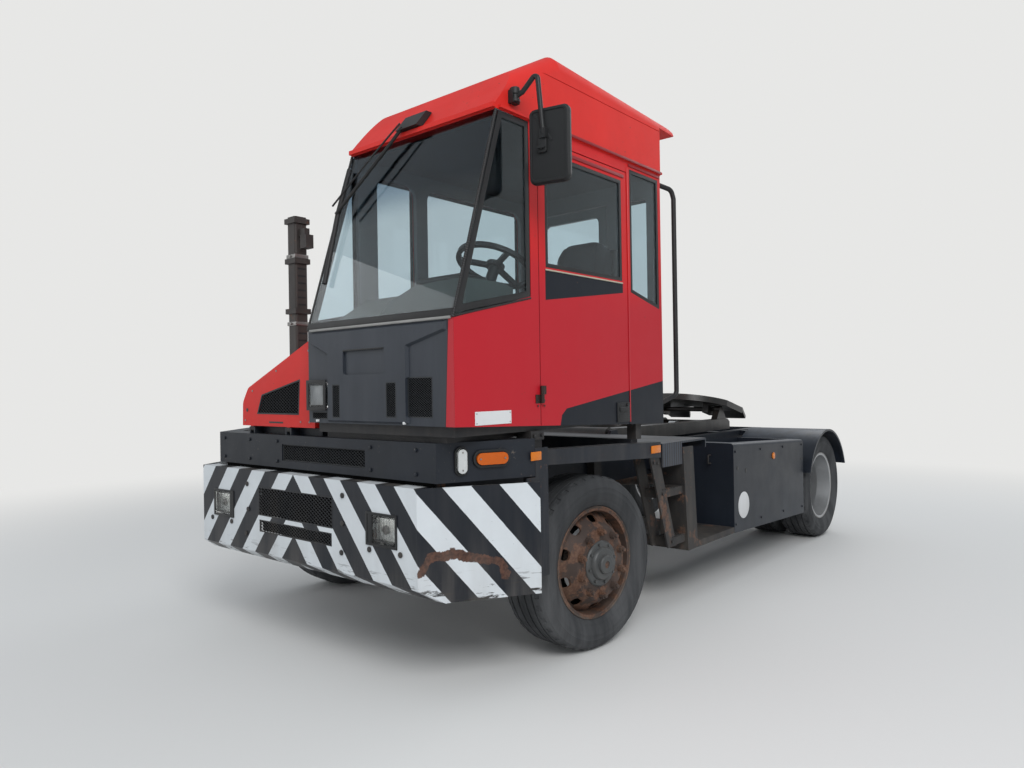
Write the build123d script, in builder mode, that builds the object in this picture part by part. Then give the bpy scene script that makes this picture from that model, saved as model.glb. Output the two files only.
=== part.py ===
from build123d import *
from math import atan2, cos, degrees, hypot, radians, sin
import os

os.makedirs("parts", exist_ok=True)

# A terminal tractor, in millimetres. +X is its left side, +Y its rear, +Z up.
# The origin lies on the floor below the middle of the whole machine, mirror included.
# Everything is drawn about the middle plane of the frame, and each finished piece is then
# moved across by half of what the mirror stands out.

# Overall sizes
LENGTH = 5280.0
HALF_WIDTH = 1270.0
WHEELBASE = 3650.0
FRONT_OVERHANG = 1117.0
FRONT = -LENGTH / 2
REAR = LENGTH / 2
AXLE_F = FRONT + FRONT_OVERHANG
AXLE_R = AXLE_F + WHEELBASE
SIDES = (1, -1)
MIRROR_REACH = 1478.0
SHIFT = (HALF_WIDTH - MIRROR_REACH) / 2
STEEL = 10.0
SEAT_GAP = 0.3
PIN_GAP = 0.5

# Wheels and tyres
TYRE_R = 463.0
TYRE_W = 294.0
RIM_R = 286.0
RIM_LIP_R = 299.0
RIM_W = 235.0
RIM_FLANGE = 14.0
RIM_WELL = 12.0
DISC_T = 14.0
DISC_FLAT_R = 192.0
HUB_R = 120.0
HUB_DEPTH = 34.0
STUD_RING_R = 168.0
STUDS = 10
NUT_R = 17.0
NUT_H = 26.0
HAND_HOLE_RING = 232.0
HAND_HOLES = 10
FRONT_WHEEL_X = 1065.0
FRONT_DISH = 150.0
FRONT_REACH = 46.0
REAR_REACH = 70.0
SPINDLE_R = 38.0
SPINDLE_TIP = 12.0
REAR_OUTER_X = 1057.0
TWIN_SPACING = 330.0
REAR_SPINDLE_R = 50.0

# Steering: how the front wheels stand when parked
KINGPIN_X = 860.0
KINGPIN_R = 24.0
PARKED_STEER = -6.3
AXLE_EYE_R = 52.0
AXLE_EYE_H = 150.0
KNUCKLE_R = 46.0
EAR_H = 36.0
BACKPLATE_X = 60.0
BACKPLATE_T = 34.0
STEER_ARM = 210.0
BALL_R = 12.0
BALL_EYE_R = 30.0
FREE_END_GAP = 1.5
TIE_ROD_R = 18.0
TIE_ROD_DROP = 45.0

# Ladder frame
RAIL_X = 430.0
RAIL_W = 80.0
RAIL_LOW = 700.0
RAIL_HIGH = 950.0
RAIL_FRONT = FRONT + 177
END_PLATE_T = 15.0
RAIL_REAR = REAR - 30 - END_PLATE_T
SPRING_X = (355.0, 425.0)
SPRING_SPAN = 560.0

# Bumper: a bent plate with swept-back ends and a bevel below its face
BUMPER_T = 12.0
BUMPER_FOLD_X = 961.0
BUMPER_REAR = AXLE_F - 620
BUMPER_TOP = 964.0
BUMPER_FACE_LOW = 509.0
BUMPER_LOW = 443.0
BEVEL_DEPTH = 117.0
# Openings in its face: half width or X range, then low and high edges
GRILLE = (340.0, 718.0, 876.0)
SLOT = (332.0, 628.0, 694.0)
LAMP = (612.0, 820.0, 682.0, 824.0)

# Beam above the bumper
BEAM_FRONT = FRONT + 57
BEAM_LOW = 985.0
BEAM_HIGH = 1165.0
BEAM_DEPTH = 120.0
BEAM_FOLD_LEFT = 1030.0
BEAM_FOLD_RIGHT = 860.0
BEAM_SIDE_X = 1225.0
BEAM_REAR = AXLE_F - 600
BEAM_GRILLE = (-190.0, 530.0, 1025.0, 1115.0)

# Beams along the top of the front wheel arches
ARCH_IN = 1120.0
ARCH_OUT = 1200.0
ARCH_FRONT = AXLE_F - 560
ARCH_REAR = AXLE_F + 655
# Lower and upper edge of the beam at its front and at its rear
ARCH_LOW = (1030.0, 968.0)
ARCH_HIGH = (1104.0, 1063.0)
ARCH_END_PLATE = (500.0, 1118.0)
ARCH_PLATE_X = HALF_WIDTH - 52
ARCH_PLATE_T = 8.0
CROSS_LOW = 1010.0
CROSS_HIGH = 1090.0
CROSS_Y = 480.0

# Cab shell: outer faces of its walls
CAB_RIGHT = 130.0
CAB_LEFT = 1190.0
CAB_FRONT = FRONT + 18
CAB_REAR = AXLE_F + 712
CAB_LOW = 1195.0
# Lower edge of its panels at the front and at the rear, as it stands nose-high on its springs
CAB_FOOT = (1243.0, 1172.0)
SILL_Z = 1725.0
GLASS_TOP_Y = AXLE_F - 795
GLASS_TOP_Z = 2690.0
WALL = 36.0
FLOOR_T = 50.0
GLASS_T = 6.0
GLASS_INSET = 6.0
ROOF_TOP = 3100.0
ROOF_EDGE_R = 85.0
ROOF_PEAK = 190.0
ROOF_SEAM_DROP = 135.0
SEAM = 4.0
RAIL_DRIP = 14.0

# Cab door on the left, hinged at its front edge
DOOR_GAP = 6.0
DOOR_FRONT = AXLE_F - 500
DOOR_REAR = AXLE_F + 315
DOOR_HIGH = 2625.0
DOOR_WINDOW = (DOOR_FRONT + 52, DOOR_REAR - 52, 2000.0, 2572.0)
DOOR_HINGES = (1330.0, 2420.0)
# Latch pad: how far it stands out, its front and rear ends ahead of the door's edge, its heights
LATCH_PAD = (6.0, 130.0, 5.0)
LATCH_Z = (1205.0, 1312.0)

# Door in the rear wall, hinged at its right edge
REAR_DOOR = (250.0, 820.0, CAB_LOW + 60, 2560.0)
REAR_DOOR_SILL = 1850.0
REAR_DOOR_FRAME = 60.0
REAR_HINGES = (1400.0, 2380.0)
REAR_PANE = (900.0, 1110.0, 1900.0, 2560.0)

# Windows of the side walls, in side view
QUARTER_REAR = DOOR_FRONT - 66
QUARTER_LOW = (1712.0, 1846.0)
SIDE_WINDOW = (DOOR_REAR + 38, CAB_REAR - 30, 2655.0)
SIDE_WINDOW_LOW = (1945.0, 1868.0)
RIGHT_POST = AXLE_F - 785
RIGHT_QUARTER_LOW = 1800.0
RIGHT_WINDOWS = ((AXLE_F - 655, AXLE_F - 360), (AXLE_F - 270, AXLE_F + 602))
RIGHT_WINDOW_Z = (1820.0, 2600.0)
RIGHT_WINDOW_R = 70.0

# Hinges of the doors
HINGE_R = 10.0
HINGE_PIN_R = 5.0
HINGE_OUT = 12.0
HINGE_H = 42.0
HINGE_LEAF = (3.0, 42.0, 4.0)

# Front panel of the cab: raised field, recess and vents, in front view
FIELD = 14.0
# Right and left side of the field, and the height at which each flares out
FIELD_SIDES = ((300.0, 1585.0), (905.0, 1600.0))
FIELD_EDGE = 40.0
FIELD_TOP = 1706.0
POCKET = (437.0, 747.0, 1483.0, 1605.0)
POCKET_DEPTH = 12.0
WORK_LAMP = (140.0, 292.0, 1312.0, 1456.0)
VENTS = ((347.0, 409.0, 1271.0, 1437.0), (757.0, 829.0, 1278.0, 1443.0), (893.0, 1056.0, 1280.0, 1463.0),
         (158.0, 288.0, 1262.0, 1300.0))

# Engine hood, right of the cab
HOOD_RIGHT = -612.0
HOOD_LEFT = CAB_RIGHT - 22
HOOD_FRONT = FRONT + 67
HOOD_REAR = AXLE_F + 420
HOOD_LOW = 1210.0
HOOD_SHOULDER = (63.0, 1428.0)
HOOD_CORNER = (5.0, 1346.0)
HOOD_HIGH = 1690.0
HOOD_T = 12.0
HOOD_GRILLE = ((-456.0, 1277.0), (-37.0, 1277.0), (-22.0, 1471.0), (-405.0, 1389.0))
HOOD_PIVOT = (HOOD_FRONT + 20, 1190.0)
HOOD_LUGS = (-520.0, -150.0)
LUG_W = 32.0
LUG_R = 14.0
LUG_PIN_R = 9.0

# Fifth wheel and the boom that lifts it
BOOM_PIVOT = (AXLE_F + 1350, 1035.0)
PIVOT_R = 30.0
BOOM_X = 330.0
BOOM_W = 100.0
BOOM_LOW = RAIL_HIGH + 20
BOOM_HIGH = 1070.0
COUPLING_Y = AXLE_F + 3330
TILT_PIN_Z = 1160.0
TILT_PIN_R = 22.0
PLATE_TILT = -13.0
RAMP_TILT = -15.0
PLATE_TOP = 78.0
PLATE_T = 36.0
PLATE_HALF = 450.0
KINGPIN_BORE_R = 25.8
THROAT = 32.0
CHEEK_X = (214.0, 272.0)
CHEEK_DROP = 45.0
CYLINDER_FOOT = (AXLE_F + 1950, 770.0)
CYLINDER_EYE = (AXLE_F + 2700, 1020.0)
CYLINDER_X = 200.0
BARREL_R = 55.0
ROD_R = 30.0
EYE_WALL = 24.0
ROD_EYE_GAP = 6.0

# Side boxes, fenders and deck
BOX_FRONT = AXLE_F + 1690
BOX_REAR = AXLE_F + 3110
BOX_LOW = 345.0
BOX_HIGH = 955.0
# Lower and upper edge of the left box at its front and at its rear
SIDE_BOX_LOW = (343.0, 290.0)
SIDE_BOX_HIGH = (980.0, 918.0)
BOX_OUT = 1205.0
BOX_IN = 620.0
BOX_EDGE_R = 22.0
TANK_FRONT = AXLE_F + 900
FENDER_R = 515.0
FENDER_T = 8.0
FENDER_OUT = 1250.0
FENDER_IN = 545.0
FENDER_RISE = 165.0
DECK_FRONT = AXLE_F + 672
DECK_REAR = AXLE_F + 1265
DECK_Z = 1050.0
DECK_T = 12.0
DECK_X = (-880.0, 1200.0)
DECK_FOLD = 60.0
# Panel that hangs from the deck's left edge: its rear end and lower edge
DECK_SKIRT = (AXLE_F + 926, 905.0)

# Interior
WHEEL_CENTRE = (950.0, AXLE_F - 560, 2010.0)
WHEEL_R = 200.0
WHEEL_LEAN = (0, 0.45, 0.89)
SEAT_X = (720.0, 1120.0)


def arch(edge, y):
    """Height of an edge of the arch beams at a place along them."""
    return edge[0] + (edge[1] - edge[0]) * (y - ARCH_FRONT) / (ARCH_REAR - ARCH_FRONT)


def slab(x0, x1, y0, y1, z0, z1, mode=Mode.ADD):
    """A block between six planes."""
    with Locations(((x0 + x1) / 2, (y0 + y1) / 2, (z0 + z1) / 2)):
        Box(abs(x1 - x0), abs(y1 - y0), abs(z1 - z0), mode=mode)


def bar(start, end, radius, mode=Mode.ADD):
    """A round bar between two points."""
    run = Vector(*end) - Vector(*start)
    with BuildSketch(Plane(origin=start, z_dir=run)) as end_face:
        Circle(radius)
    extrude(end_face.sketch, amount=run.length, mode=mode)


def pipe(points, radius, bend):
    """A bent tube of straight runs joined by tangent arcs."""
    with BuildLine() as path:
        FilletPolyline(*points, radius=bend)
    with BuildSketch(Plane(origin=path.line @ 0, z_dir=path.line % 0)) as end_face:
        Circle(radius)
    sweep(end_face.sketch, path=path.line)


def side_plate(points, x0, x1, mode=Mode.ADD):
    """A plate cut to a side view outline (Y, Z) that lies between two X planes."""
    with BuildSketch(Plane.YZ.offset(x0)) as outline:
        with BuildLine():
            Polyline(*points, close=True)
        make_face()
    extrude(outline.sketch, amount=x1 - x0, mode=mode)


def front_plate(points, y0, y1, mode=Mode.ADD, taper=0):
    """A plate cut to a front view outline (X, Z) that lies between two Y planes."""
    with BuildSketch(Plane.XZ.offset(-y0)) as outline:
        with BuildLine():
            Polyline(*points, close=True)
        make_face()
    extrude(outline.sketch, amount=y0 - y1, mode=mode, taper=taper)


def plan_plate(points, z0, z1, mode=Mode.ADD):
    """A plate cut to a plan outline (X, Y) that lies between two heights."""
    with BuildSketch(Plane.XY.offset(z0)) as outline:
        with BuildLine():
            Polyline(*points, close=True)
        make_face()
    extrude(outline.sketch, amount=z1 - z0, mode=mode)


def window(x0, x1, z0, z1, y0, y1, corner):
    """A round-cornered hole through a plate that faces front, between two Y planes."""
    with BuildSketch(Plane.XZ.offset(-y0)) as outline:
        with Locations(((x0 + x1) / 2, (z0 + z1) / 2)):
            RectangleRounded(x1 - x0, z1 - z0, corner)
    extrude(outline.sketch, amount=y0 - y1, mode=Mode.SUBTRACT)


def shrunk(points, gap):
    """A convex outline drawn in by a gap towards its middle, for a pane in its opening."""
    middle = (sum(p[0] for p in points) / len(points), sum(p[1] for p in points) / len(points))
    return [tuple(c + (m - c) * 2 * gap / hypot(p[0] - middle[0], p[1] - middle[1])
                  for c, m in zip(p, middle)) for p in points]


def keep(piece, name):
    """Names a finished piece and writes it."""
    piece.part.locate(Location((SHIFT, 0, 0)))
    piece.part.label = name
    export_step(piece.part, f"parts/{name}.step")


def keep_steered(piece, name, side):
    """Turns a finished piece about its kingpin to the parked steering angle, then keeps it."""
    kingpin = (side * KINGPIN_X, AXLE_F, 0)
    piece.part.locate(Location((SHIFT, 0, 0)) * Location(kingpin) * Location((0, 0, 0), (0, 0, PARKED_STEER))
                      * Location(kingpin).inverse())
    piece.part.label = name
    export_step(piece.part, f"parts/{name}.step")


# Ladder frame: two channel rails, their crossmembers and the pivot ears of the boom
CROSS_T = 80.0
EAR_T = 26.0
# Crossmembers: place along the frame and lower edge
CROSS = ((RAIL_FRONT + 60, 740), (AXLE_F + 760, 800), (AXLE_F + 1650, 740), (AXLE_F + 3020, 740),
         (RAIL_REAR - 250, 740))
with BuildPart() as frame:
    with BuildSketch(Plane.XZ.offset(-RAIL_FRONT)):
        for side in SIDES:
            with Locations((side * (RAIL_X - RAIL_W / 2), (RAIL_LOW + RAIL_HIGH) / 2)):
                Rectangle(RAIL_W, RAIL_HIGH - RAIL_LOW)
            with Locations((side * (RAIL_X - STEEL - RAIL_W / 2), (RAIL_LOW + RAIL_HIGH) / 2)):
                Rectangle(RAIL_W, RAIL_HIGH - RAIL_LOW - 2 * STEEL, mode=Mode.SUBTRACT)
    extrude(amount=RAIL_FRONT - RAIL_REAR)
    for y, low in CROSS:
        slab(STEEL - RAIL_X, RAIL_X - STEEL, y - CROSS_T / 2, y + CROSS_T / 2, low, RAIL_HIGH - 40)
    slab(-RAIL_X, RAIL_X, RAIL_REAR, RAIL_REAR + END_PLATE_T, RAIL_LOW - 60, RAIL_HIGH)
    with BuildSketch(Plane.XZ.offset(-RAIL_REAR)) as pin_eye:
        with Locations((0, (RAIL_LOW + RAIL_HIGH) / 2 - 40)):
            RectangleRounded(120, 90, 20)
    extrude(pin_eye.sketch, amount=-END_PLATE_T - 1, mode=Mode.SUBTRACT)
    for side in SIDES:
        ear = side * (RAIL_X - 4 - EAR_T / 2)
        side_plate([(BOOM_PIVOT[0] - 75, RAIL_HIGH), (BOOM_PIVOT[0] + 75, RAIL_HIGH),
                    (BOOM_PIVOT[0] + 45, BOOM_PIVOT[1] + 40), (BOOM_PIVOT[0] - 45, BOOM_PIVOT[1] + 40)],
                   ear - EAR_T / 2, ear + EAR_T / 2)
    bar((STEEL - RAIL_X, *BOOM_PIVOT), (RAIL_X - STEEL, *BOOM_PIVOT), PIVOT_R)
    bar((STEEL - RAIL_X, *CYLINDER_FOOT), (RAIL_X - STEEL, *CYLINDER_FOOT), PIVOT_R)
keep(frame, "frame")

# Bumper: the plate with its bevel, top flange and brackets to the rails
with BuildPart() as bumper:
    with BuildSketch(Plane.XY.offset(BUMPER_LOW)):
        with BuildLine() as edge:
            Polyline((-HALF_WIDTH, BUMPER_REAR), (-BUMPER_FOLD_X, FRONT), (BUMPER_FOLD_X, FRONT),
                     (HALF_WIDTH, BUMPER_REAR))
            offset(amount=BUMPER_T, side=Side.LEFT)
        make_face()
    extrude(amount=BUMPER_TOP - BUMPER_LOW)
    slab(-HALF_WIDTH, HALF_WIDTH, FRONT - 1, FRONT + BEVEL_DEPTH, BUMPER_LOW - 1, BUMPER_FACE_LOW,
         mode=Mode.SUBTRACT)
    inner = BUMPER_FOLD_X + BEVEL_DEPTH * (HALF_WIDTH - BUMPER_FOLD_X) / (BUMPER_REAR - FRONT)
    with BuildSketch(Plane.XY.offset(BUMPER_FACE_LOW)):
        with BuildLine():
            Polyline((-BUMPER_FOLD_X, FRONT), (BUMPER_FOLD_X, FRONT),
                     (inner, FRONT + BEVEL_DEPTH), (-inner, FRONT + BEVEL_DEPTH), close=True)
        make_face()
    with BuildSketch(Plane.XY.offset(BUMPER_LOW)):
        with BuildLine():
            Polyline((-inner + 4, FRONT + BEVEL_DEPTH - BUMPER_T), (inner - 4, FRONT + BEVEL_DEPTH - BUMPER_T),
                     (inner, FRONT + BEVEL_DEPTH), (-inner, FRONT + BEVEL_DEPTH), close=True)
        make_face()
    loft()
    slab(-BUMPER_FOLD_X, BUMPER_FOLD_X, FRONT + BUMPER_T, FRONT + 90, BUMPER_TOP - BUMPER_T, BUMPER_TOP)
    for half, low, high in (GRILLE, SLOT):
        slab(-half, half, FRONT - 1, FRONT + BUMPER_T + 1, low, high, mode=Mode.SUBTRACT)
    for side in SIDES:
        slab(side * LAMP[0], side * LAMP[1], FRONT - 1, FRONT + BUMPER_T + 1, LAMP[2], LAMP[3],
             mode=Mode.SUBTRACT)
        slab(side * (RAIL_X - 40), side * RAIL_X, FRONT + BUMPER_T, RAIL_FRONT, 760, 900)
keep(bumper, "bumper")

# Beam above the bumper, a folded box with swept ends, and on it the sill of the hood
with BuildPart() as beam:
    rear = BEAM_FRONT + BEAM_DEPTH
    plan_plate([(-BEAM_SIDE_X, BEAM_REAR), (-BEAM_FOLD_RIGHT, BEAM_FRONT), (BEAM_FOLD_LEFT, BEAM_FRONT),
                (BEAM_SIDE_X, BEAM_REAR), (BEAM_SIDE_X - 60, BEAM_REAR), (BEAM_FOLD_LEFT - 50, rear),
                (-BEAM_FOLD_RIGHT + 50, rear), (-BEAM_SIDE_X + 60, BEAM_REAR)], BEAM_LOW, BEAM_HIGH)
    slab(BEAM_GRILLE[0], BEAM_GRILLE[1], BEAM_FRONT - 1, BEAM_FRONT + 25, BEAM_GRILLE[2], BEAM_GRILLE[3],
         mode=Mode.SUBTRACT)
    for side in SIDES:
        slab(side * 300, side * RAIL_X, rear, RAIL_FRONT + 60, RAIL_HIGH + SEAT_GAP, 1100)
    sill_top = HOOD_LOW - DOOR_GAP
    sill_x = (HOOD_RIGHT + 20, HOOD_RIGHT + 60, HOOD_LEFT - 20)
    slab(sill_x[0], sill_x[2], HOOD_FRONT + 60, HOOD_FRONT + 100, BEAM_HIGH, sill_top)
    slab(sill_x[0], sill_x[1], HOOD_FRONT + 60, HOOD_REAR - 20, BEAM_HIGH, sill_top)
    slab(sill_x[0], sill_x[2], HOOD_REAR - 60, HOOD_REAR - 20, BEAM_HIGH + 16, sill_top)
    slab(sill_x[0], sill_x[1], AXLE_F - CROSS_Y - 20, AXLE_F - CROSS_Y + 20, CROSS_HIGH + SEAT_GAP, BEAM_HIGH)
    for x in HOOD_LUGS:
        for ear in (x - LUG_W / 2 - 13, x + LUG_W / 2 + 1):
            slab(ear, ear + 12, HOOD_PIVOT[0] - LUG_R, HOOD_PIVOT[0] + 42, BEAM_HIGH, HOOD_PIVOT[1] + LUG_R)
        bar((x - LUG_W / 2 - 13, *HOOD_PIVOT), (x + LUG_W / 2 + 13, *HOOD_PIVOT), LUG_PIN_R)
keep(beam, "front_beam")

# Meshes: crossed bars in a rim, set in the openings of bumper, beam and cab panel
# Each row: X from and to, Y of its face, Z from and to
MESHES = ((-GRILLE[0], GRILLE[0], FRONT + 4, GRILLE[1], GRILLE[2]),
          (-SLOT[0], SLOT[0], FRONT + 4, SLOT[1], SLOT[2]),
          (BEAM_GRILLE[0], BEAM_GRILLE[1], BEAM_FRONT + 12, BEAM_GRILLE[2], BEAM_GRILLE[3]))
MESH_PITCH = 26.0
MESH_BAR = 5.0
with BuildPart() as grilles:
    rows = [(*m, 1.0) for m in MESHES]
    for x0, x1, z0, z1 in VENTS:
        raised = FIELD if x0 > FIELD_SIDES[0][0] and x1 < FIELD_SIDES[1][0] else 0
        rows.append((x0, x1, CAB_FRONT - raised + 4, z0, z1, 12.0))
    for x0, x1, y, z0, z1, corner in rows:
        wide, high = x1 - x0 - 2 * SEAT_GAP, z1 - z0 - 2 * SEAT_GAP
        with BuildSketch(Plane.XZ.offset(-y)) as mesh:
            with Locations(((x0 + x1) / 2, (z0 + z1) / 2)):
                RectangleRounded(wide, high, corner)
                Rectangle(wide - 4 * MESH_BAR, high - 4 * MESH_BAR, mode=Mode.SUBTRACT)
                lines = max(1, int(high / MESH_PITCH) - 1)
                with GridLocations(MESH_PITCH, high / (lines + 1), 1, lines):
                    Rectangle(wide - 3 * MESH_BAR, MESH_BAR)
                columns = max(1, int(wide / MESH_PITCH / 2) - 1)
                with GridLocations(wide / (columns + 1), MESH_PITCH, columns, 1):
                    Rectangle(MESH_BAR, high - 3 * MESH_BAR)
        extrude(mesh.sketch, amount=-4)
keep(grilles, "front_grilles")

# Clear lamps: the two in the bumper, the work lamp in the cab panel, and the upright markers
END_LEFT = degrees(atan2(BEAM_REAR - BEAM_FRONT, BEAM_SIDE_X - BEAM_FOLD_LEFT))
END_RIGHT = degrees(atan2(BEAM_REAR - BEAM_FRONT, BEAM_SIDE_X - BEAM_FOLD_RIGHT))


def beam_end(side, along, z):
    """Plane on a swept end of the beam, its normal outwards, some way along from the fold."""
    fold = BEAM_FOLD_LEFT if side > 0 else BEAM_FOLD_RIGHT
    turn = radians(END_LEFT if side > 0 else END_RIGHT)
    return Plane(origin=(side * (fold + along * cos(turn)), BEAM_FRONT + along * sin(turn), z),
                 x_dir=(side * cos(turn), sin(turn), 0), z_dir=(side * sin(turn), -cos(turn), 0))


LAMP_DEPTH = 75.0
# Lamps on the beam's ends: how far along from the fold and how high, then length and width
MARKER_AT = (118.0, 1080.0)
MARKER = (112.0, 46.0)
AMBER_AT = (270.0, 1085.0)
AMBER = (158.0, 54.0)
WORK_LAMP_DEPTH = 27.0
with BuildPart() as lamps:
    for side in SIDES:
        x0, x1 = side * (LAMP[0] + SEAT_GAP), side * (LAMP[1] - SEAT_GAP)
        slab(x0, x1, FRONT + 2, FRONT + LAMP_DEPTH, LAMP[2] + SEAT_GAP, LAMP[3] - SEAT_GAP)
    slab(WORK_LAMP[0] + SEAT_GAP, WORK_LAMP[1] - SEAT_GAP, FRONT + 1, FRONT + WORK_LAMP_DEPTH,
         WORK_LAMP[2] + SEAT_GAP, WORK_LAMP[3] - SEAT_GAP)
    fillet(lamps.edges().filter_by(Axis.Y), 16)
    for side in SIDES:
        with BuildSketch(beam_end(side, *MARKER_AT).offset(SEAT_GAP)) as marker:
            SlotOverall(*MARKER, rotation=90)
        extrude(marker.sketch, amount=26)
keep(lamps, "clear_lamps")

# Amber lamps: ovals on the swept ends of the beam
with BuildPart() as amber:
    for side in SIDES:
        with BuildSketch(beam_end(side, *AMBER_AT).offset(SEAT_GAP)) as oval:
            SlotOverall(*AMBER)
        extrude(oval.sketch, amount=22)
keep(amber, "amber_lamps")

# Beams over the front wheels, with the upright plates at their ends and the cross tubes
with BuildPart() as arches:
    for side in SIDES:
        start = ARCH_FRONT + 30
        near, far = sorted((side * ARCH_IN, side * ARCH_OUT))
        side_plate([(start, arch(ARCH_LOW, start)), (ARCH_REAR, ARCH_LOW[1]), (ARCH_REAR, ARCH_HIGH[1]),
                    (start, arch(ARCH_HIGH, start))], near, far)
        plate = (side * ARCH_PLATE_X, side * (ARCH_PLATE_X + ARCH_PLATE_T))
        slab(*plate, AXLE_F - 660, ARCH_FRONT + 60, ARCH_END_PLATE[0], BEAM_LOW - 5)
        slab(*plate, BEAM_REAR + 2, ARCH_FRONT + 60, BEAM_LOW - 6, ARCH_END_PLATE[1])
        slab(side * ARCH_IN, side * ARCH_PLATE_X, ARCH_FRONT, start, 780, ARCH_HIGH[0])
        for y in (AXLE_F - CROSS_Y, AXLE_F + CROSS_Y):
            slab(side * (RAIL_X + SEAT_GAP), side * ARCH_IN, y - 35, y + 35, CROSS_LOW, CROSS_HIGH)
            slab(side * (RAIL_X + SEAT_GAP), side * (RAIL_X + 30), y - 35, y + 35, 800, CROSS_LOW)
keep(arches, "arch_beams")

# Steps behind the left front wheel
STEP_X = 1188.0
STEP_PLATE_T = 16.0
STRUT_T = 12.0
STRUT_W = 108.0
STRUT_FOOT = (AXLE_F + 750, 400.0)
with BuildPart() as steps:
    for x in (STEP_X, STEP_X - 110):
        head = ARCH_REAR - STRUT_W
        side_plate([(head, arch(ARCH_LOW, head) - SEAT_GAP), (ARCH_REAR, ARCH_LOW[1] - SEAT_GAP),
                    (STRUT_FOOT[0] + STRUT_W, STRUT_FOOT[1]), STRUT_FOOT], x - STRUT_T, x)
    side_plate([(AXLE_F + 930, 1010), (AXLE_F + 1070, 1010), (AXLE_F + 1120, 345), (AXLE_F + 985, 345)],
               STEP_X, STEP_X + STEP_PLATE_T)
    side_plate([(AXLE_F + 930, 1010), (AXLE_F + 945, 1010), (AXLE_F + 1000, 345), (AXLE_F + 985, 345)],
               STEP_X - 178, STEP_X)
    # Rungs: front end, low and high edges
    for y, low, high in ((AXLE_F + 670, 715, 765), (AXLE_F + 785, 405, 455)):
        slab(STEP_X - 110, STEP_X, y, AXLE_F + 975, low, high)
    slab(RAIL_X + 20, STEP_X + STEP_PLATE_T, AXLE_F + 1070, BOX_FRONT - SEAT_GAP, 345, 385)
    slab(RAIL_X + SEAT_GAP, STEP_X, AXLE_F + 985, AXLE_F + 1075, 345, 420)
    slab(RAIL_X + SEAT_GAP, RAIL_X + 60, AXLE_F + 985, AXLE_F + 1075, 420, 900)
keep(steps, "steps_left")

# Box behind the steps on the left, open on top behind its folded edge
with BuildPart() as box:
    side_plate([(BOX_FRONT, SIDE_BOX_LOW[0]), (BOX_REAR, SIDE_BOX_LOW[1]), (BOX_REAR, SIDE_BOX_HIGH[1]),
                (BOX_FRONT, SIDE_BOX_HIGH[0])], BOX_IN, BOX_OUT)
    long_edges = [e for e in box.edges() if e.bounding_box().size.Y > 1]
    fillet([e for e in long_edges if e.bounding_box().min.Z > SIDE_BOX_LOW[0] + 1], BOX_EDGE_R)
    slab(BOX_IN + 25, BOX_OUT - 110, BOX_FRONT + 190, BOX_REAR - 60, SIDE_BOX_HIGH[1] - 200, SIDE_BOX_HIGH[0] + 1,
         mode=Mode.SUBTRACT)
    for y in (BOX_FRONT + 180, BOX_REAR - 180):
        slab(RAIL_X + SEAT_GAP, BOX_IN, y - 40, y + 40, 740, 900)
keep(box, "box_left")

# Fuel tank on the right, with its straps and filler cap
STRAP = (50.0, 5.0)
with BuildPart() as tank:
    slab(-BOX_OUT + STRAP[1], -BOX_IN, TANK_FRONT, BOX_REAR, BOX_LOW + STRAP[1], BOX_HIGH - STRAP[1])
    fillet(tank.edges().filter_by(Axis.Y), 60)
    for y in (TANK_FRONT + 300, BOX_REAR - 300):
        with BuildSketch(Plane.XZ.offset(-(y - STRAP[0] / 2))) as band:
            with Locations((-(BOX_OUT + BOX_IN) / 2, (BOX_LOW + BOX_HIGH) / 2)):
                RectangleRounded(BOX_OUT - BOX_IN, BOX_HIGH - BOX_LOW, 62)
        extrude(band.sketch, amount=-STRAP[0])
        slab(-(RAIL_X + SEAT_GAP), -BOX_IN - 30, y - 40, y + 40, 740, 900)
    bar((-BOX_OUT + 120, TANK_FRONT + 150, BOX_HIGH - STRAP[1] - 5),
        (-BOX_OUT + 120, TANK_FRONT + 150, BOX_HIGH + 40), 45)
keep(tank, "tank_right")

# Deck behind the cab: a tread plate on a folded edge
with BuildPart() as deck:
    slab(*DECK_X, DECK_FRONT, DECK_REAR, DECK_Z - DECK_T, DECK_Z)
    slab(*DECK_X, DECK_FRONT, DECK_FRONT + DECK_T, DECK_Z - DECK_FOLD, DECK_Z)
    slab(*DECK_X, DECK_REAR - DECK_T, DECK_REAR, DECK_Z - DECK_FOLD, DECK_Z)
    slab(DECK_X[1] - DECK_T, DECK_X[1], DECK_FRONT, DECK_SKIRT[0], DECK_SKIRT[1], DECK_Z)
    for side in SIDES:
        slab(side * (RAIL_X - 70), side * RAIL_X, DECK_FRONT, DECK_FRONT + 60, RAIL_HIGH + SEAT_GAP, DECK_Z)
keep(deck, "deck")

# Rear fenders: arched sheets with an outer lip, each on a bracket
LIP = (26.0, 18.0)
with BuildPart() as fenders:
    for side in SIDES:
        for start, end, inner_r in ((FENDER_IN, FENDER_OUT, FENDER_R - FENDER_T),
                                    (FENDER_OUT - LIP[0], FENDER_OUT, FENDER_R - LIP[1])):
            with BuildSketch(Plane.YZ.offset(side * start)) as hoop:
                with Locations((AXLE_R, TYRE_R)):
                    Circle(FENDER_R)
                    Circle(inner_r, mode=Mode.SUBTRACT)
                with Locations((AXLE_R, TYRE_R + FENDER_RISE)):
                    Rectangle(3 * FENDER_R, 2 * FENDER_R, align=(Align.CENTER, Align.MAX), mode=Mode.SUBTRACT)
            extrude(hoop.sketch, amount=side * (end - start))
        slab(side * (RAIL_X + SEAT_GAP), side * (FENDER_IN + 20), AXLE_R - 40, AXLE_R + 40, 900, 945)
        slab(side * FENDER_IN, side * (FENDER_IN + 20), AXLE_R - 40, AXLE_R + 40, 945, TYRE_R + FENDER_R - 4)
keep(fenders, "rear_fenders")

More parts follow.
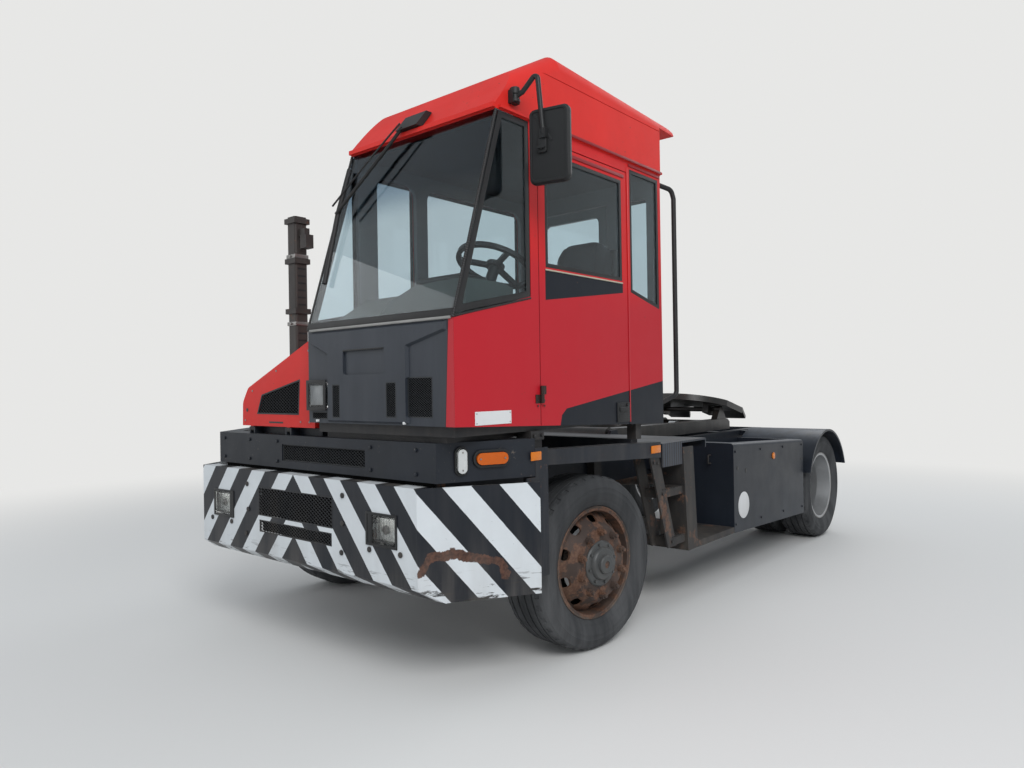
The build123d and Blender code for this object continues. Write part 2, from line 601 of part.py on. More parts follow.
# Engine: the plain block between the rails, reaching up under the hood
ENGINE_X = (-320.0, 60.0)
with BuildPart() as engine:
    slab(*ENGINE_X, AXLE_F - 780, AXLE_F + 230, 640, 1440)
    slab(-RAIL_X + STEEL + SEAT_GAP, ENGINE_X[0], AXLE_F - 300, AXLE_F - 200, 760, 820)
    slab(ENGINE_X[1], RAIL_X - STEEL - SEAT_GAP, AXLE_F - 300, AXLE_F - 200, 760, 820)
keep(engine, "engine_block")

# Front axle: beam, kingpins and leaf springs
with BuildPart() as front_axle:
    slab(-KINGPIN_X + 30, KINGPIN_X - 30, AXLE_F - 55, AXLE_F + 55, TYRE_R - 60, TYRE_R + 50)
    for side in SIDES:
        x = side * KINGPIN_X
        bar((x, AXLE_F, TYRE_R - AXLE_EYE_H / 2), (x, AXLE_F, TYRE_R + AXLE_EYE_H / 2), AXLE_EYE_R)
        bar((x, AXLE_F, TYRE_R - AXLE_EYE_H / 2 - EAR_H - 4), (x, AXLE_F, TYRE_R + AXLE_EYE_H / 2 + EAR_H + 4),
            KINGPIN_R)
        side_plate([(AXLE_F - SPRING_SPAN, 672), (AXLE_F - SPRING_SPAN, 690), (AXLE_F - 60, 560),
                    (AXLE_F + 60, 560), (AXLE_F + SPRING_SPAN, 690), (AXLE_F + SPRING_SPAN, 672),
                    (AXLE_F + 60, 513), (AXLE_F - 60, 513)], side * SPRING_X[0], side * SPRING_X[1])
        for y in (AXLE_F - SPRING_SPAN + 10, AXLE_F + SPRING_SPAN - 10):
            slab(side * SPRING_X[0], side * SPRING_X[1], y - 30, y + 30, 672, RAIL_LOW - SEAT_GAP)
keep(front_axle, "front_axle")

# Rear axle: banjo housing, tubes, seats under the rails, with the propeller shaft and gearbox
SHAFT_R = 40.0
GEARBOX = (-250.0, 50.0, AXLE_F + 230.3, AXLE_F + 560)
with BuildPart() as rear_axle:
    bar((-700, AXLE_R, TYRE_R), (700, AXLE_R, TYRE_R), 75)
    with Locations((0, AXLE_R, TYRE_R)):
        Sphere(190)
    for side in SIDES:
        slab(side * 350, side * RAIL_X, AXLE_R - 90, AXLE_R + 90, TYRE_R, RAIL_LOW - SEAT_GAP)
        bar((side * 690, AXLE_R, TYRE_R), (side * (REAR_OUTER_X - TWIN_SPACING / 2 + 20), AXLE_R, TYRE_R),
            REAR_SPINDLE_R)
    bar((0, AXLE_R - 150, TYRE_R), (0, AXLE_R - 300, TYRE_R + 10), 60)
    bar((0, AXLE_R - 300, TYRE_R + 10), (-100, AXLE_F + 900, 690), SHAFT_R)
    slab(*GEARBOX, 560, 900)
    bar((-100, GEARBOX[3], 700), (-100, GEARBOX[3] + 345, 690), SHAFT_R + 20)
keep(rear_axle, "rear_axle")

# Exhaust stack: a square guard on a foot, with its clamps and the bracket near its top
STACK = (-1130.0, -1030.0, AXLE_F - 400, AXLE_F - 300)
STACK_TOP = 2620.0
with BuildPart() as stack:
    slab(*STACK, arch(ARCH_HIGH, STACK[2]) + SEAT_GAP, STACK_TOP)
    fillet(stack.edges().filter_by(Axis.Z), 18)
    for z in (1960, 2310, 2590):
        slab(STACK[0] - 12, STACK[1] + 12, STACK[2] - 12, STACK[3] + 12, z - 18, z + 18)
    slab(STACK[1], STACK[1] + 70, STACK[2] + 30, STACK[3] - 30, 2480, 2530)
    slab(STACK[1] + 30, STACK[1] + 100, STACK[2] + 20, STACK[3] - 20, 2390, 2482)
keep(stack, "exhaust_stack")

# Cab floor with its base, and the mounts that carry it
MOUNT_HALF = 30.0
MOUNT_X = (CAB_RIGHT + 100, CAB_LEFT - WALL - MOUNT_HALF - 4)
with BuildPart() as cab_floor:
    slab(CAB_RIGHT + WALL, CAB_LEFT - WALL, CAB_FRONT + WALL, CAB_REAR - WALL, CAB_LOW, CAB_LOW + FLOOR_T)
    slab(CAB_LEFT - WALL - DOOR_GAP, CAB_LEFT, DOOR_FRONT - DOOR_GAP, DOOR_REAR + DOOR_GAP, CAB_LOW,
         CAB_LOW + FLOOR_T, mode=Mode.SUBTRACT)
    slab(CAB_RIGHT + 60, CAB_LEFT - 120, BEAM_FRONT + 30, DOOR_FRONT, BEAM_HIGH + SEAT_GAP, CAB_LOW)
    for y in (AXLE_F - CROSS_Y, AXLE_F + CROSS_Y):
        for x, low in zip(MOUNT_X, (CROSS_HIGH, max(CROSS_HIGH, arch(ARCH_HIGH, y - MOUNT_HALF)))):
            slab(x - MOUNT_HALF, x + MOUNT_HALF, y - MOUNT_HALF, y + MOUNT_HALF, low + SEAT_GAP, CAB_LOW)
keep(cab_floor, "cab_floor")


def rake(z):
    """Y of the cab's front face at a height: upright below the sill, raked back above it."""
    if z <= SILL_Z:
        return CAB_FRONT
    return CAB_FRONT + (GLASS_TOP_Y - CAB_FRONT) * (z - SILL_Z) / (GLASS_TOP_Z - SILL_Z)


def hinge(axis_x, axis_y, low, wall_leaf, door_leaf, fixed):
    """Half a hinge: the fixed half carries the pin, the moving half turns on it above."""
    bottom = low if fixed else low + HINGE_H + 1
    bar((axis_x, axis_y, bottom), (axis_x, axis_y, bottom + HINGE_H), HINGE_R)
    slab(*(wall_leaf if fixed else door_leaf), bottom, bottom + HINGE_H)
    if fixed:
        bar((axis_x, axis_y, low), (axis_x, axis_y, low + 2 * HINGE_H), HINGE_PIN_R)
    else:
        bar((axis_x, axis_y, bottom - 1), (axis_x, axis_y, bottom + HINGE_H + 1), HINGE_PIN_R + PIN_GAP,
            mode=Mode.SUBTRACT)


def door_hinges(fixed):
    """The halves of the left door's hinges."""
    x, y = CAB_LEFT + HINGE_OUT, DOOR_FRONT - DOOR_GAP / 2
    near, far, thick = HINGE_LEAF
    for z in DOOR_HINGES:
        hinge(x, y, z, (CAB_LEFT, CAB_LEFT + thick, y - far, y - near),
              (CAB_LEFT, CAB_LEFT + thick, y + near, y + far), fixed)


def rear_door_hinges(fixed):
    """The halves of the rear door's hinges."""
    x, y = REAR_DOOR[0] - DOOR_GAP / 2, CAB_REAR + HINGE_OUT
    near, far, thick = HINGE_LEAF
    for z in REAR_HINGES:
        hinge(x, y, z, (x - far, x - near, CAB_REAR, CAB_REAR + thick),
              (x + near, x + far, CAB_REAR, CAB_REAR + thick), fixed)


def foot(y):
    """Height of the cab panels' lower edge at a place along the cab."""
    return CAB_FOOT[0] + (CAB_FOOT[1] - CAB_FOOT[0]) * (y - CAB_FRONT) / (CAB_REAR - CAB_FRONT)


def mitre(side):
    """Trims the front end of a side wall to the mitred edge of the front panel."""
    outer = CAB_LEFT if side > 0 else CAB_RIGHT
    y = CAB_FRONT + SEAT_GAP + 0.1
    plan_plate([(outer - side * (WALL + 1), CAB_FRONT - 10), (outer + side, CAB_FRONT - 10),
                (outer + side, y - 1), (outer - side * (WALL + 1), y + WALL + 1)],
               CAB_LOW - 1, SILL_Z + 1, mode=Mode.SUBTRACT)


QUARTER = [(CAB_FRONT - 1, QUARTER_LOW[0]), (QUARTER_REAR, QUARTER_LOW[1]), (QUARTER_REAR, GLASS_TOP_Z + 1),
           (CAB_FRONT - 1, GLASS_TOP_Z + 1)]
SIDE_PANE = [(SIDE_WINDOW[0], SIDE_WINDOW_LOW[0]), (SIDE_WINDOW[1], SIDE_WINDOW_LOW[1]),
             (SIDE_WINDOW[1], SIDE_WINDOW[2]), (SIDE_WINDOW[0], SIDE_WINDOW[2])]
QUARTER_RIGHT = [(CAB_FRONT - 1, QUARTER_LOW[0]), (RIGHT_POST, RIGHT_QUARTER_LOW), (RIGHT_POST, GLASS_TOP_Z + 1),
                 (CAB_FRONT - 1, GLASS_TOP_Z + 1)]


def right_panes(gap, x0, x1, mode=Mode.ADD):
    """The round-cornered windows of the right wall, drawn in by a gap."""
    for y0, y1 in RIGHT_WINDOWS:
        with BuildSketch(Plane.YZ.offset(x0)) as pane:
            with Locations(((y0 + y1) / 2, sum(RIGHT_WINDOW_Z) / 2)):
                RectangleRounded(y1 - y0 - 2 * gap, RIGHT_WINDOW_Z[1] - RIGHT_WINDOW_Z[0] - 2 * gap,
                                 RIGHT_WINDOW_R - gap)
        extrude(pane.sketch, amount=x1 - x0, mode=mode)


# Front panel below the windshield
with BuildPart() as front_panel:
    plan_plate([(CAB_RIGHT, CAB_FRONT), (CAB_LEFT, CAB_FRONT), (CAB_LEFT - WALL, CAB_FRONT + WALL),
                (CAB_RIGHT + WALL, CAB_FRONT + WALL)], CAB_FOOT[0], SILL_Z)
    low = CAB_FOOT[0] + 6
    (right, flare_right), (left, flare_left) = FIELD_SIDES
    front_plate([(right, low), (right, flare_right), (CAB_RIGHT + FIELD_EDGE, flare_right + 55),
                 (CAB_RIGHT + FIELD_EDGE, FIELD_TOP), (CAB_LEFT - FIELD_EDGE, FIELD_TOP),
                 (CAB_LEFT - FIELD_EDGE, flare_left + 60), (left, flare_left), (left, low)],
                CAB_FRONT + 1, CAB_FRONT - FIELD, taper=35)
    x0, x1, z0, z1 = POCKET
    window(x0, x1, z0, z1, CAB_FRONT - FIELD - 1, CAB_FRONT - FIELD + POCKET_DEPTH, 18)
    for x0, x1, z0, z1 in VENTS:
        window(x0, x1, z0, z1, CAB_FRONT - FIELD - 1, CAB_FRONT + WALL + 1, 12)
    x0, x1, z0, z1 = WORK_LAMP
    window(x0, x1, z0, z1, CAB_FRONT - FIELD - 1, CAB_FRONT + WALL + 1, 16)
keep(front_panel, "cab_front_panel")

# Left wall: the panel ahead of the door, the post, the header and the panel behind the door
with BuildPart() as wall_left:
    x0, x1 = CAB_LEFT - WALL, CAB_LEFT
    ahead, behind = DOOR_FRONT - DOOR_GAP, DOOR_REAR + DOOR_GAP
    side_plate([(CAB_FRONT, foot(CAB_FRONT)), (ahead, foot(ahead)), (ahead, GLASS_TOP_Z),
                (GLASS_TOP_Y, GLASS_TOP_Z), (CAB_FRONT, SILL_Z)], x0, x1)
    side_plate(QUARTER, x0 - 1, x1 + 1, mode=Mode.SUBTRACT)
    mitre(1)
    side_plate([(behind, foot(behind)), (CAB_REAR, foot(CAB_REAR)), (CAB_REAR, GLASS_TOP_Z),
                (behind, GLASS_TOP_Z)], x0, x1)
    side_plate(SIDE_PANE, x0 - 1, x1 + 1, mode=Mode.SUBTRACT)
    slab(x0, x1, ahead, behind, DOOR_HIGH + DOOR_GAP, GLASS_TOP_Z)
    door_hinges(True)
keep(wall_left, "cab_wall_left")

# Right wall with its quarter window and its large window
with BuildPart() as wall_right:
    x0, x1 = CAB_RIGHT, CAB_RIGHT + WALL
    side_plate([(CAB_FRONT, foot(CAB_FRONT)), (CAB_REAR, foot(CAB_REAR)), (CAB_REAR, GLASS_TOP_Z),
                (GLASS_TOP_Y, GLASS_TOP_Z), (CAB_FRONT, SILL_Z)], x0, x1)
    side_plate(QUARTER_RIGHT, x0 - 1, x1 + 1, mode=Mode.SUBTRACT)
    right_panes(0, x0 - 1, x1 + 1, Mode.SUBTRACT)
    mitre(-1)
keep(wall_right, "cab_wall_right")

# Rear wall with its doorway and a narrow window
with BuildPart() as wall_rear:
    slab(CAB_RIGHT + WALL, CAB_LEFT - WALL, CAB_REAR - WALL, CAB_REAR, CAB_LOW + FLOOR_T, GLASS_TOP_Z)
    slab(REAR_DOOR[0] - DOOR_GAP, REAR_DOOR[1] + DOOR_GAP, CAB_REAR - WALL - 1, CAB_REAR + 1,
         REAR_DOOR[2] - DOOR_GAP, REAR_DOOR[3] + DOOR_GAP, mode=Mode.SUBTRACT)
    window(*REAR_PANE, CAB_REAR - WALL - 1, CAB_REAR + 1, 30)
    rear_door_hinges(True)
keep(wall_rear, "cab_wall_rear")

# Roof: side walls above the drip rail, a raked front, rounded edges and a peak at the rear
with BuildPart() as roof:
    shoulder = ROOF_TOP - ROOF_SEAM_DROP
    with BuildSketch(Plane.YZ.offset(CAB_RIGHT)) as profile:
        with BuildLine():
            Polyline((GLASS_TOP_Y - 10, GLASS_TOP_Z), (GLASS_TOP_Y - 10, GLASS_TOP_Z + 28),
                     (GLASS_TOP_Y + 165, shoulder - 35), (GLASS_TOP_Y + 470, ROOF_TOP), (CAB_REAR + 90, ROOF_TOP - 48),
                     (CAB_REAR + ROOF_PEAK, ROOF_TOP - 96), (CAB_REAR + ROOF_PEAK, ROOF_TOP - 122),
                     (CAB_REAR + 8, ROOF_TOP - 112), (CAB_REAR + 8, GLASS_TOP_Z), close=True)
        make_face()
        corners = profile.vertices().sort_by(Axis.Z)
        top = [v for v in corners if v.Z > ROOF_TOP - 60 or abs(v.Z - shoulder + 35) < 1]
        fillet(top, 130)
    extrude(profile.sketch, amount=CAB_LEFT - CAB_RIGHT)
    rounded = [e for e in roof.edges() if e.bounding_box().min.Z > shoulder - 60
               and e.bounding_box().size.X < 1 and e.bounding_box().max.Y < CAB_REAR + 95]
    fillet(rounded, ROOF_EDGE_R)
    slab(CAB_RIGHT + WALL, CAB_LEFT - WALL, GLASS_TOP_Y + 70, CAB_REAR - WALL, GLASS_TOP_Z - 1, GLASS_TOP_Z + 90,
         mode=Mode.SUBTRACT)
    for side in SIDES:
        outer = CAB_LEFT if side > 0 else CAB_RIGHT
        slab(outer - side * SEAM, outer + side, GLASS_TOP_Y + 110, CAB_REAR, shoulder - SEAM, shoulder,
             mode=Mode.SUBTRACT)
        slab(outer, outer + side * RAIL_DRIP, GLASS_TOP_Y + 10, CAB_REAR + 8, GLASS_TOP_Z + 6, GLASS_TOP_Z + 18)
    slab(CAB_RIGHT, CAB_LEFT, GLASS_TOP_Y - 26, GLASS_TOP_Y - 10, GLASS_TOP_Z + 4, GLASS_TOP_Z + 26)
keep(roof, "cab_roof")

# Windshield, and the other fixed panes
with BuildPart() as windshield:
    side_plate([(CAB_FRONT, SILL_Z + SEAT_GAP), (CAB_FRONT + GLASS_T, SILL_Z + SEAT_GAP),
                (GLASS_TOP_Y + GLASS_T, GLASS_TOP_Z - SEAT_GAP), (GLASS_TOP_Y, GLASS_TOP_Z - SEAT_GAP)],
               CAB_RIGHT, CAB_LEFT)
keep(windshield, "windshield")

with BuildPart() as panes:
    behind = GLASS_T + 2 * SEAT_GAP
    quarter = [(rake(QUARTER_LOW[0] + 25) + behind + 2, QUARTER_LOW[0] + 25), (QUARTER_REAR - 2, QUARTER_LOW[1] + 3),
               (QUARTER_REAR - SEAT_GAP, GLASS_TOP_Z - SEAT_GAP), (GLASS_TOP_Y + behind, GLASS_TOP_Z - SEAT_GAP)]
    left_x, right_x = CAB_LEFT - GLASS_INSET - GLASS_T, CAB_RIGHT + GLASS_INSET
    side_plate(quarter, left_x, left_x + GLASS_T)
    rear = RIGHT_POST - 2
    side_plate([quarter[0], (rear, RIGHT_QUARTER_LOW + 12), (rear, GLASS_TOP_Z - 10),
                (rear - 6, GLASS_TOP_Z - 20)], right_x, right_x + GLASS_T)
    side_plate(shrunk(SIDE_PANE, SEAT_GAP), left_x, left_x + GLASS_T)
    right_panes(SEAT_GAP, right_x, right_x + GLASS_T)
    x0, x1, z0, z1 = REAR_PANE
    with BuildSketch(Plane.XZ.offset(-(CAB_REAR - GLASS_INSET - GLASS_T))) as small:
        with Locations(((x0 + x1) / 2, (z0 + z1) / 2)):
            RectangleRounded(x1 - x0 - 2 * SEAT_GAP, z1 - z0 - 2 * SEAT_GAP, 30)
    extrude(small.sketch, amount=-GLASS_T)
keep(panes, "cab_glass")

# Left door, its latch and its pane
with BuildPart() as door:
    side_plate([(DOOR_FRONT, foot(DOOR_FRONT)), (DOOR_REAR, foot(DOOR_REAR)), (DOOR_REAR, DOOR_HIGH),
                (DOOR_FRONT, DOOR_HIGH)], CAB_LEFT - WALL, CAB_LEFT)
    slab(CAB_LEFT - WALL - 1, CAB_LEFT + 1, *DOOR_WINDOW, mode=Mode.SUBTRACT)
    slab(CAB_LEFT, CAB_LEFT + LATCH_PAD[0], DOOR_REAR - LATCH_PAD[1], DOOR_REAR - LATCH_PAD[2], *LATCH_Z)
    door_hinges(False)
keep(door, "door_left")
with BuildPart() as door_pane:
    y0, y1, z0, z1 = DOOR_WINDOW
    slab(CAB_LEFT - GLASS_INSET - GLASS_T, CAB_LEFT - GLASS_INSET, y0 + SEAT_GAP, y1 - SEAT_GAP,
         z0 + SEAT_GAP, z1 - SEAT_GAP)
keep(door_pane, "door_left_glass")

# Rear door and its pane
REAR_DOOR_LIGHT = (REAR_DOOR[0] + REAR_DOOR_FRAME, REAR_DOOR[1] - REAR_DOOR_FRAME, REAR_DOOR_SILL,
                   REAR_DOOR[3] - REAR_DOOR_FRAME)
with BuildPart() as rear_door:
    x0, x1, z0, z1 = REAR_DOOR
    slab(x0, x1, CAB_REAR - WALL, CAB_REAR, z0, z1)
    window(*REAR_DOOR_LIGHT, CAB_REAR - WALL - 1, CAB_REAR + 1, 40)
    slab(x1 - 95, x1 - 45, CAB_REAR, CAB_REAR + 20, 1700, 1790)
    rear_door_hinges(False)
keep(rear_door, "door_rear")
with BuildPart() as rear_pane:
    x0, x1, z0, z1 = REAR_DOOR_LIGHT
    with BuildSketch(Plane.XZ.offset(-(CAB_REAR - GLASS_INSET - GLASS_T))):
        with Locations(((x0 + x1) / 2, (z0 + z1) / 2)):
            RectangleRounded(x1 - x0 - 2 * SEAT_GAP, z1 - z0 - 2 * SEAT_GAP, 40)
    extrude(amount=-GLASS_T)
keep(rear_pane, "door_rear_glass")

# Dashboard with the steering column, and the shelf along the right wall
COLUMN_REACH = 95.0
with BuildPart() as dash:
    inner_x = (CAB_RIGHT + WALL + SEAT_GAP, CAB_LEFT - WALL - SEAT_GAP)
    side_plate([(CAB_FRONT + WALL + 1, SILL_Z - 110), (CAB_FRONT + WALL + 1, SILL_Z - 10),
                (AXLE_F - 900, 1800), (AXLE_F - 740, 1900), (AXLE_F - 660, 1880), (AXLE_F - 660, 1730),
                (AXLE_F - 860, 1570)], *inner_x)
    front_plate([(inner_x[1], 1760), (inner_x[1], 1900), (980, 1900), (820, 1890), (640, 1830), (560, 1760)],
                AXLE_F - 985, AXLE_F - 760)
    slab(WHEEL_CENTRE[0] - 60, WHEEL_CENTRE[0] + 60, AXLE_F - 820, AXLE_F - 700, CAB_LOW + FLOOR_T, 1720)
    with BuildSketch(Plane(origin=WHEEL_CENTRE, x_dir=(1, 0, 0), z_dir=WHEEL_LEAN).offset(-COLUMN_REACH - SEAT_GAP)):
        Circle(34)
    extrude(amount=-140)
    slab(inner_x[0], inner_x[0] + 130, AXLE_F - 700, AXLE_F + 420, CAB_LOW + FLOOR_T + SEAT_GAP, 1790)
keep(dash, "dashboard")
with BuildPart() as steering_wheel:
    tilt = Plane(origin=WHEEL_CENTRE, x_dir=(1, 0, 0), z_dir=WHEEL_LEAN)
    with BuildSketch(tilt):
        Circle(WHEEL_R)
        Circle(WHEEL_R - 24, mode=Mode.SUBTRACT)
        Circle(48)
        with PolarLocations(0, 3, 90):
            with Locations((WHEEL_R / 2, 0)):
                Rectangle(WHEEL_R - 30, 26)
    extrude(amount=22)
    with BuildSketch(tilt) as column:
        Circle(28)
    extrude(column.sketch, amount=-COLUMN_REACH)
keep(steering_wheel, "steering_wheel")

# Driver's seat: pedestal with its shell, and the two cushions
SEAT_Z = 1640.0
SEAT_BACK = (AXLE_F + 262, AXLE_F + 326)
SEAT_BACK_H = 590.0
CUSHION_T = 110.0
with BuildPart() as seat_base:
    slab(SEAT_X[0] + 90, SEAT_X[1] - 90, AXLE_F - 60, AXLE_F + 160, CAB_LOW + FLOOR_T + SEAT_GAP, SEAT_Z - 30)
    slab(SEAT_X[0] + 10, SEAT_X[1] - 10, AXLE_F - 180, AXLE_F + 270, SEAT_Z - 30, SEAT_Z)
    low = SEAT_Z - 30
    side_plate([(SEAT_BACK[0], low), (SEAT_BACK[0] + 36, low), (SEAT_BACK[1] + 36, low + SEAT_BACK_H),
                (SEAT_BACK[1], low + SEAT_BACK_H)], SEAT_X[0] + 20, SEAT_X[1] - 20)
keep(seat_base, "seat_base")
with BuildPart() as cushion:
    slab(SEAT_X[0], SEAT_X[1], AXLE_F - 210, AXLE_F + 180, SEAT_Z + SEAT_GAP, SEAT_Z + CUSHION_T)
    fillet(cushion.edges().group_by(Axis.Z)[-1], 40)
keep(cushion, "seat_cushion")
with BuildPart() as backrest:
    leaning = Plane(origin=(sum(SEAT_X) / 2, SEAT_BACK[0], SEAT_Z - 30), x_dir=(1, 0, 0),
                    z_dir=(0, -SEAT_BACK_H, SEAT_BACK[1] - SEAT_BACK[0]))
    with BuildSketch(leaning.offset(SEAT_GAP)):
        with Locations((0, CUSHION_T + 290)):
            RectangleRounded(SEAT_X[1] - SEAT_X[0] - 20, 500, 120)
    extrude(amount=88)
keep(backrest, "seat_backrest")

# Mirror on its arm, at the cab's front left corner, ahead of the door
MIRROR_W = 205.0
MIRROR_H = 350.0
MIRROR_T = 38.0
MIRROR_TURN = -12.0
MIRROR_EDGE = 12.0
MIRROR_Y = AXLE_F - 620
MIRROR_Z = 2515.0
ARM_Y = MIRROR_Y - 50
ARM_R = 12.0
with BuildPart() as mirror:
    turn = radians(MIRROR_TURN)
    centre_x = MIRROR_REACH + sin(turn) * (MIRROR_T - MIRROR_EDGE) - cos(turn) * MIRROR_W / 2
    face = Plane(origin=(centre_x, MIRROR_Y, MIRROR_Z), x_dir=(cos(turn), -sin(turn), 0),
                 z_dir=(-sin(turn), -cos(turn), 0))
    with BuildSketch(face):
        RectangleRounded(MIRROR_W, MIRROR_H, 32)
    extrude(amount=MIRROR_T)
    chamfer(mirror.edges().filter_by(face).sort_by(Axis.Y)[:8], MIRROR_EDGE)
    slab(CAB_LEFT + SEAT_GAP, CAB_LEFT + 30, ARM_Y - 45, ARM_Y + 5, 2735, 2795)
    pipe([(CAB_LEFT + 20, ARM_Y - 20, 2765), (CAB_LEFT + 60, ARM_Y - 10, 2782), (CAB_LEFT + 122, ARM_Y, 2842),
          (CAB_LEFT + 142, ARM_Y, 2832), (CAB_LEFT + 170, ARM_Y, 2560)], ARM_R, 14)
    slab(CAB_LEFT + 152, CAB_LEFT + 188, ARM_Y - 10, MIRROR_Y - 20, 2545, 2590)
keep(mirror, "mirror")

# Wiper: its motor cover above the windshield, the arm and the blade along the glass
WIPER_X = (545.0, 700.0)
BLADE = ((165.0, 2600.0), (205.0, 1960.0))
with BuildPart() as wiper:
    low, high = GLASS_TOP_Z + 32, GLASS_TOP_Z + 120
    slope = 165 / (ROOF_TOP - ROOF_SEAM_DROP - 35 - GLASS_TOP_Z - 28)
    face_y = [GLASS_TOP_Y - 10 + slope * (z - GLASS_TOP_Z - 28) - 2 * SEAT_GAP for z in (low, high)]
    side_plate([(face_y[0] - 45, low), (face_y[0], low), (face_y[1], high), (face_y[1] - 40, high)], *WIPER_X)
    pipe([(WIPER_X[0] + 40, face_y[0] - 30, low + 15), (WIPER_X[0] - 60, face_y[0] - 55, 2640),
          (185, rake(2340) - 48, 2340)], 9, 40)
    pipe([(BLADE[0][0], rake(BLADE[0][1]) - 22, BLADE[0][1]), (185, rake(2340) - 36, 2340),
          (BLADE[1][0], rake(BLADE[1][1]) - 22, BLADE[1][1])], 13, 400)
keep(wiper, "wiper")

# Handrail at the cab's rear left corner
RAIL_Z = (1285.0, 2655.0)
RAIL_R = 15.0
# How far behind the cab the slanted ends of the rail begin, the lower and the upper one
RAIL_LEAN = (7.6, 5.6)
with BuildPart() as handrail:
    x, y = CAB_LEFT + 10, CAB_REAR + 154
    pipe([(CAB_LEFT - 45, CAB_REAR + RAIL_LEAN[1], RAIL_Z[1]), (x - 8, y - 14, RAIL_Z[1] - 25), (x, y, RAIL_Z[1] - 80),
          (x, y, RAIL_Z[0] + 60), (CAB_LEFT - 45, CAB_REAR + RAIL_LEAN[0], RAIL_Z[0])], RAIL_R, 40)
keep(handrail, "handrail")

# Engine hood: a shell with sloping shoulders, hinged at its front lower edge
with BuildPart() as hood:
    shoulder = (HOOD_RIGHT + HOOD_SHOULDER[0], HOOD_SHOULDER[1])
    corner = (HOOD_RIGHT + HOOD_CORNER[0], HOOD_CORNER[1])
    outline = [(HOOD_LEFT, HOOD_LOW), (HOOD_LEFT, HOOD_HIGH), shoulder, corner, (HOOD_RIGHT, HOOD_LOW)]
    front_plate(outline, HOOD_FRONT, HOOD_REAR)
    fillet(hood.edges().filter_by(Axis.Y).group_by(Axis.X)[1:3], 60)
    inside = [(HOOD_LEFT - HOOD_T, HOOD_LOW - 1), (HOOD_LEFT - HOOD_T, HOOD_HIGH - 17),
              (shoulder[0] + 6, shoulder[1] - HOOD_T - 8), (corner[0] + HOOD_T + 8, corner[1] - 8),
              (HOOD_RIGHT + HOOD_T, HOOD_LOW - 1)]
    front_plate(inside, HOOD_FRONT + HOOD_T, HOOD_REAR - HOOD_T, mode=Mode.SUBTRACT)
    front_plate(HOOD_GRILLE, HOOD_FRONT - 1, HOOD_FRONT + HOOD_T + 1, mode=Mode.SUBTRACT)
    for x in HOOD_LUGS:
        slab(x - LUG_W / 2, x + LUG_W / 2, HOOD_PIVOT[0] - LUG_R, HOOD_PIVOT[0] + LUG_R, HOOD_PIVOT[1], HOOD_LOW + 30)
        bar((x - LUG_W / 2, *HOOD_PIVOT), (x + LUG_W / 2, *HOOD_PIVOT), LUG_R)
        bar((x - LUG_W / 2 - 1, *HOOD_PIVOT), (x + LUG_W / 2 + 1, *HOOD_PIVOT), LUG_PIN_R + PIN_GAP,
            mode=Mode.SUBTRACT)
keep(hood, "hood")
with BuildPart() as hood_grille:
    front_plate(shrunk(HOOD_GRILLE, SEAT_GAP), HOOD_FRONT + 4, HOOD_FRONT + 8)
    for column in range(1, 9):
        for row in range(1, 5):
            along, up = column / 9, row / 5
            low = [HOOD_GRILLE[0][k] + along * (HOOD_GRILLE[1][k] - HOOD_GRILLE[0][k]) for k in (0, 1)]
            high = [HOOD_GRILLE[3][k] + along * (HOOD_GRILLE[2][k] - HOOD_GRILLE[3][k]) for k in (0, 1)]
            x, z = (low[k] + up * (high[k] - low[k]) for k in (0, 1))
            slab(x - 17, x + 17, HOOD_FRONT + 3, HOOD_FRONT + 9, z - 6, z + 6, mode=Mode.SUBTRACT)
keep(hood_grille, "hood_grille")

# Boom: two arms on the pivot tube, a cross tube for the cylinders and the plate's pedestals
with BuildPart() as boom:
    for side in SIDES:
        side_plate([(BOOM_PIVOT[0], BOOM_PIVOT[1] - 45), (BOOM_PIVOT[0] + 200, BOOM_LOW), (COUPLING_Y + 160, BOOM_LOW),
                    (COUPLING_Y + 160, BOOM_HIGH - 30), (COUPLING_Y + 110, BOOM_HIGH),
                    (COUPLING_Y - 300, BOOM_HIGH), (BOOM_PIVOT[0] + 200, BOOM_HIGH + 10),
                    (BOOM_PIVOT[0], BOOM_PIVOT[1] + 50)],
                   side * (BOOM_X - BOOM_W / 2), side * (BOOM_X + BOOM_W / 2))
        side_plate([(COUPLING_Y - 100, BOOM_HIGH), (COUPLING_Y + 100, BOOM_HIGH), (COUPLING_Y + 36, TILT_PIN_Z),
                    (COUPLING_Y - 36, TILT_PIN_Z)], side * (BOOM_X - 20), side * (BOOM_X + 40))
        bar((side * (BOOM_X - 20), COUPLING_Y, TILT_PIN_Z), (side * (BOOM_X + 40), COUPLING_Y, TILT_PIN_Z), 36)
    bar((-380, *BOOM_PIVOT), (380, *BOOM_PIVOT), PIVOT_R + 28)
    bar((-381, *BOOM_PIVOT), (381, *BOOM_PIVOT), PIVOT_R + PIN_GAP, mode=Mode.SUBTRACT)
    bar((-BOOM_X, *CYLINDER_EYE), (BOOM_X, *CYLINDER_EYE), PIVOT_R)
    slab(-BOOM_X, BOOM_X, COUPLING_Y + 40, COUPLING_Y + 140, BOOM_LOW + 5, BOOM_HIGH - 20)
    bar((-BOOM_X, COUPLING_Y, TILT_PIN_Z), (BOOM_X, COUPLING_Y, TILT_PIN_Z), TILT_PIN_R)
keep(boom, "lift_boom")

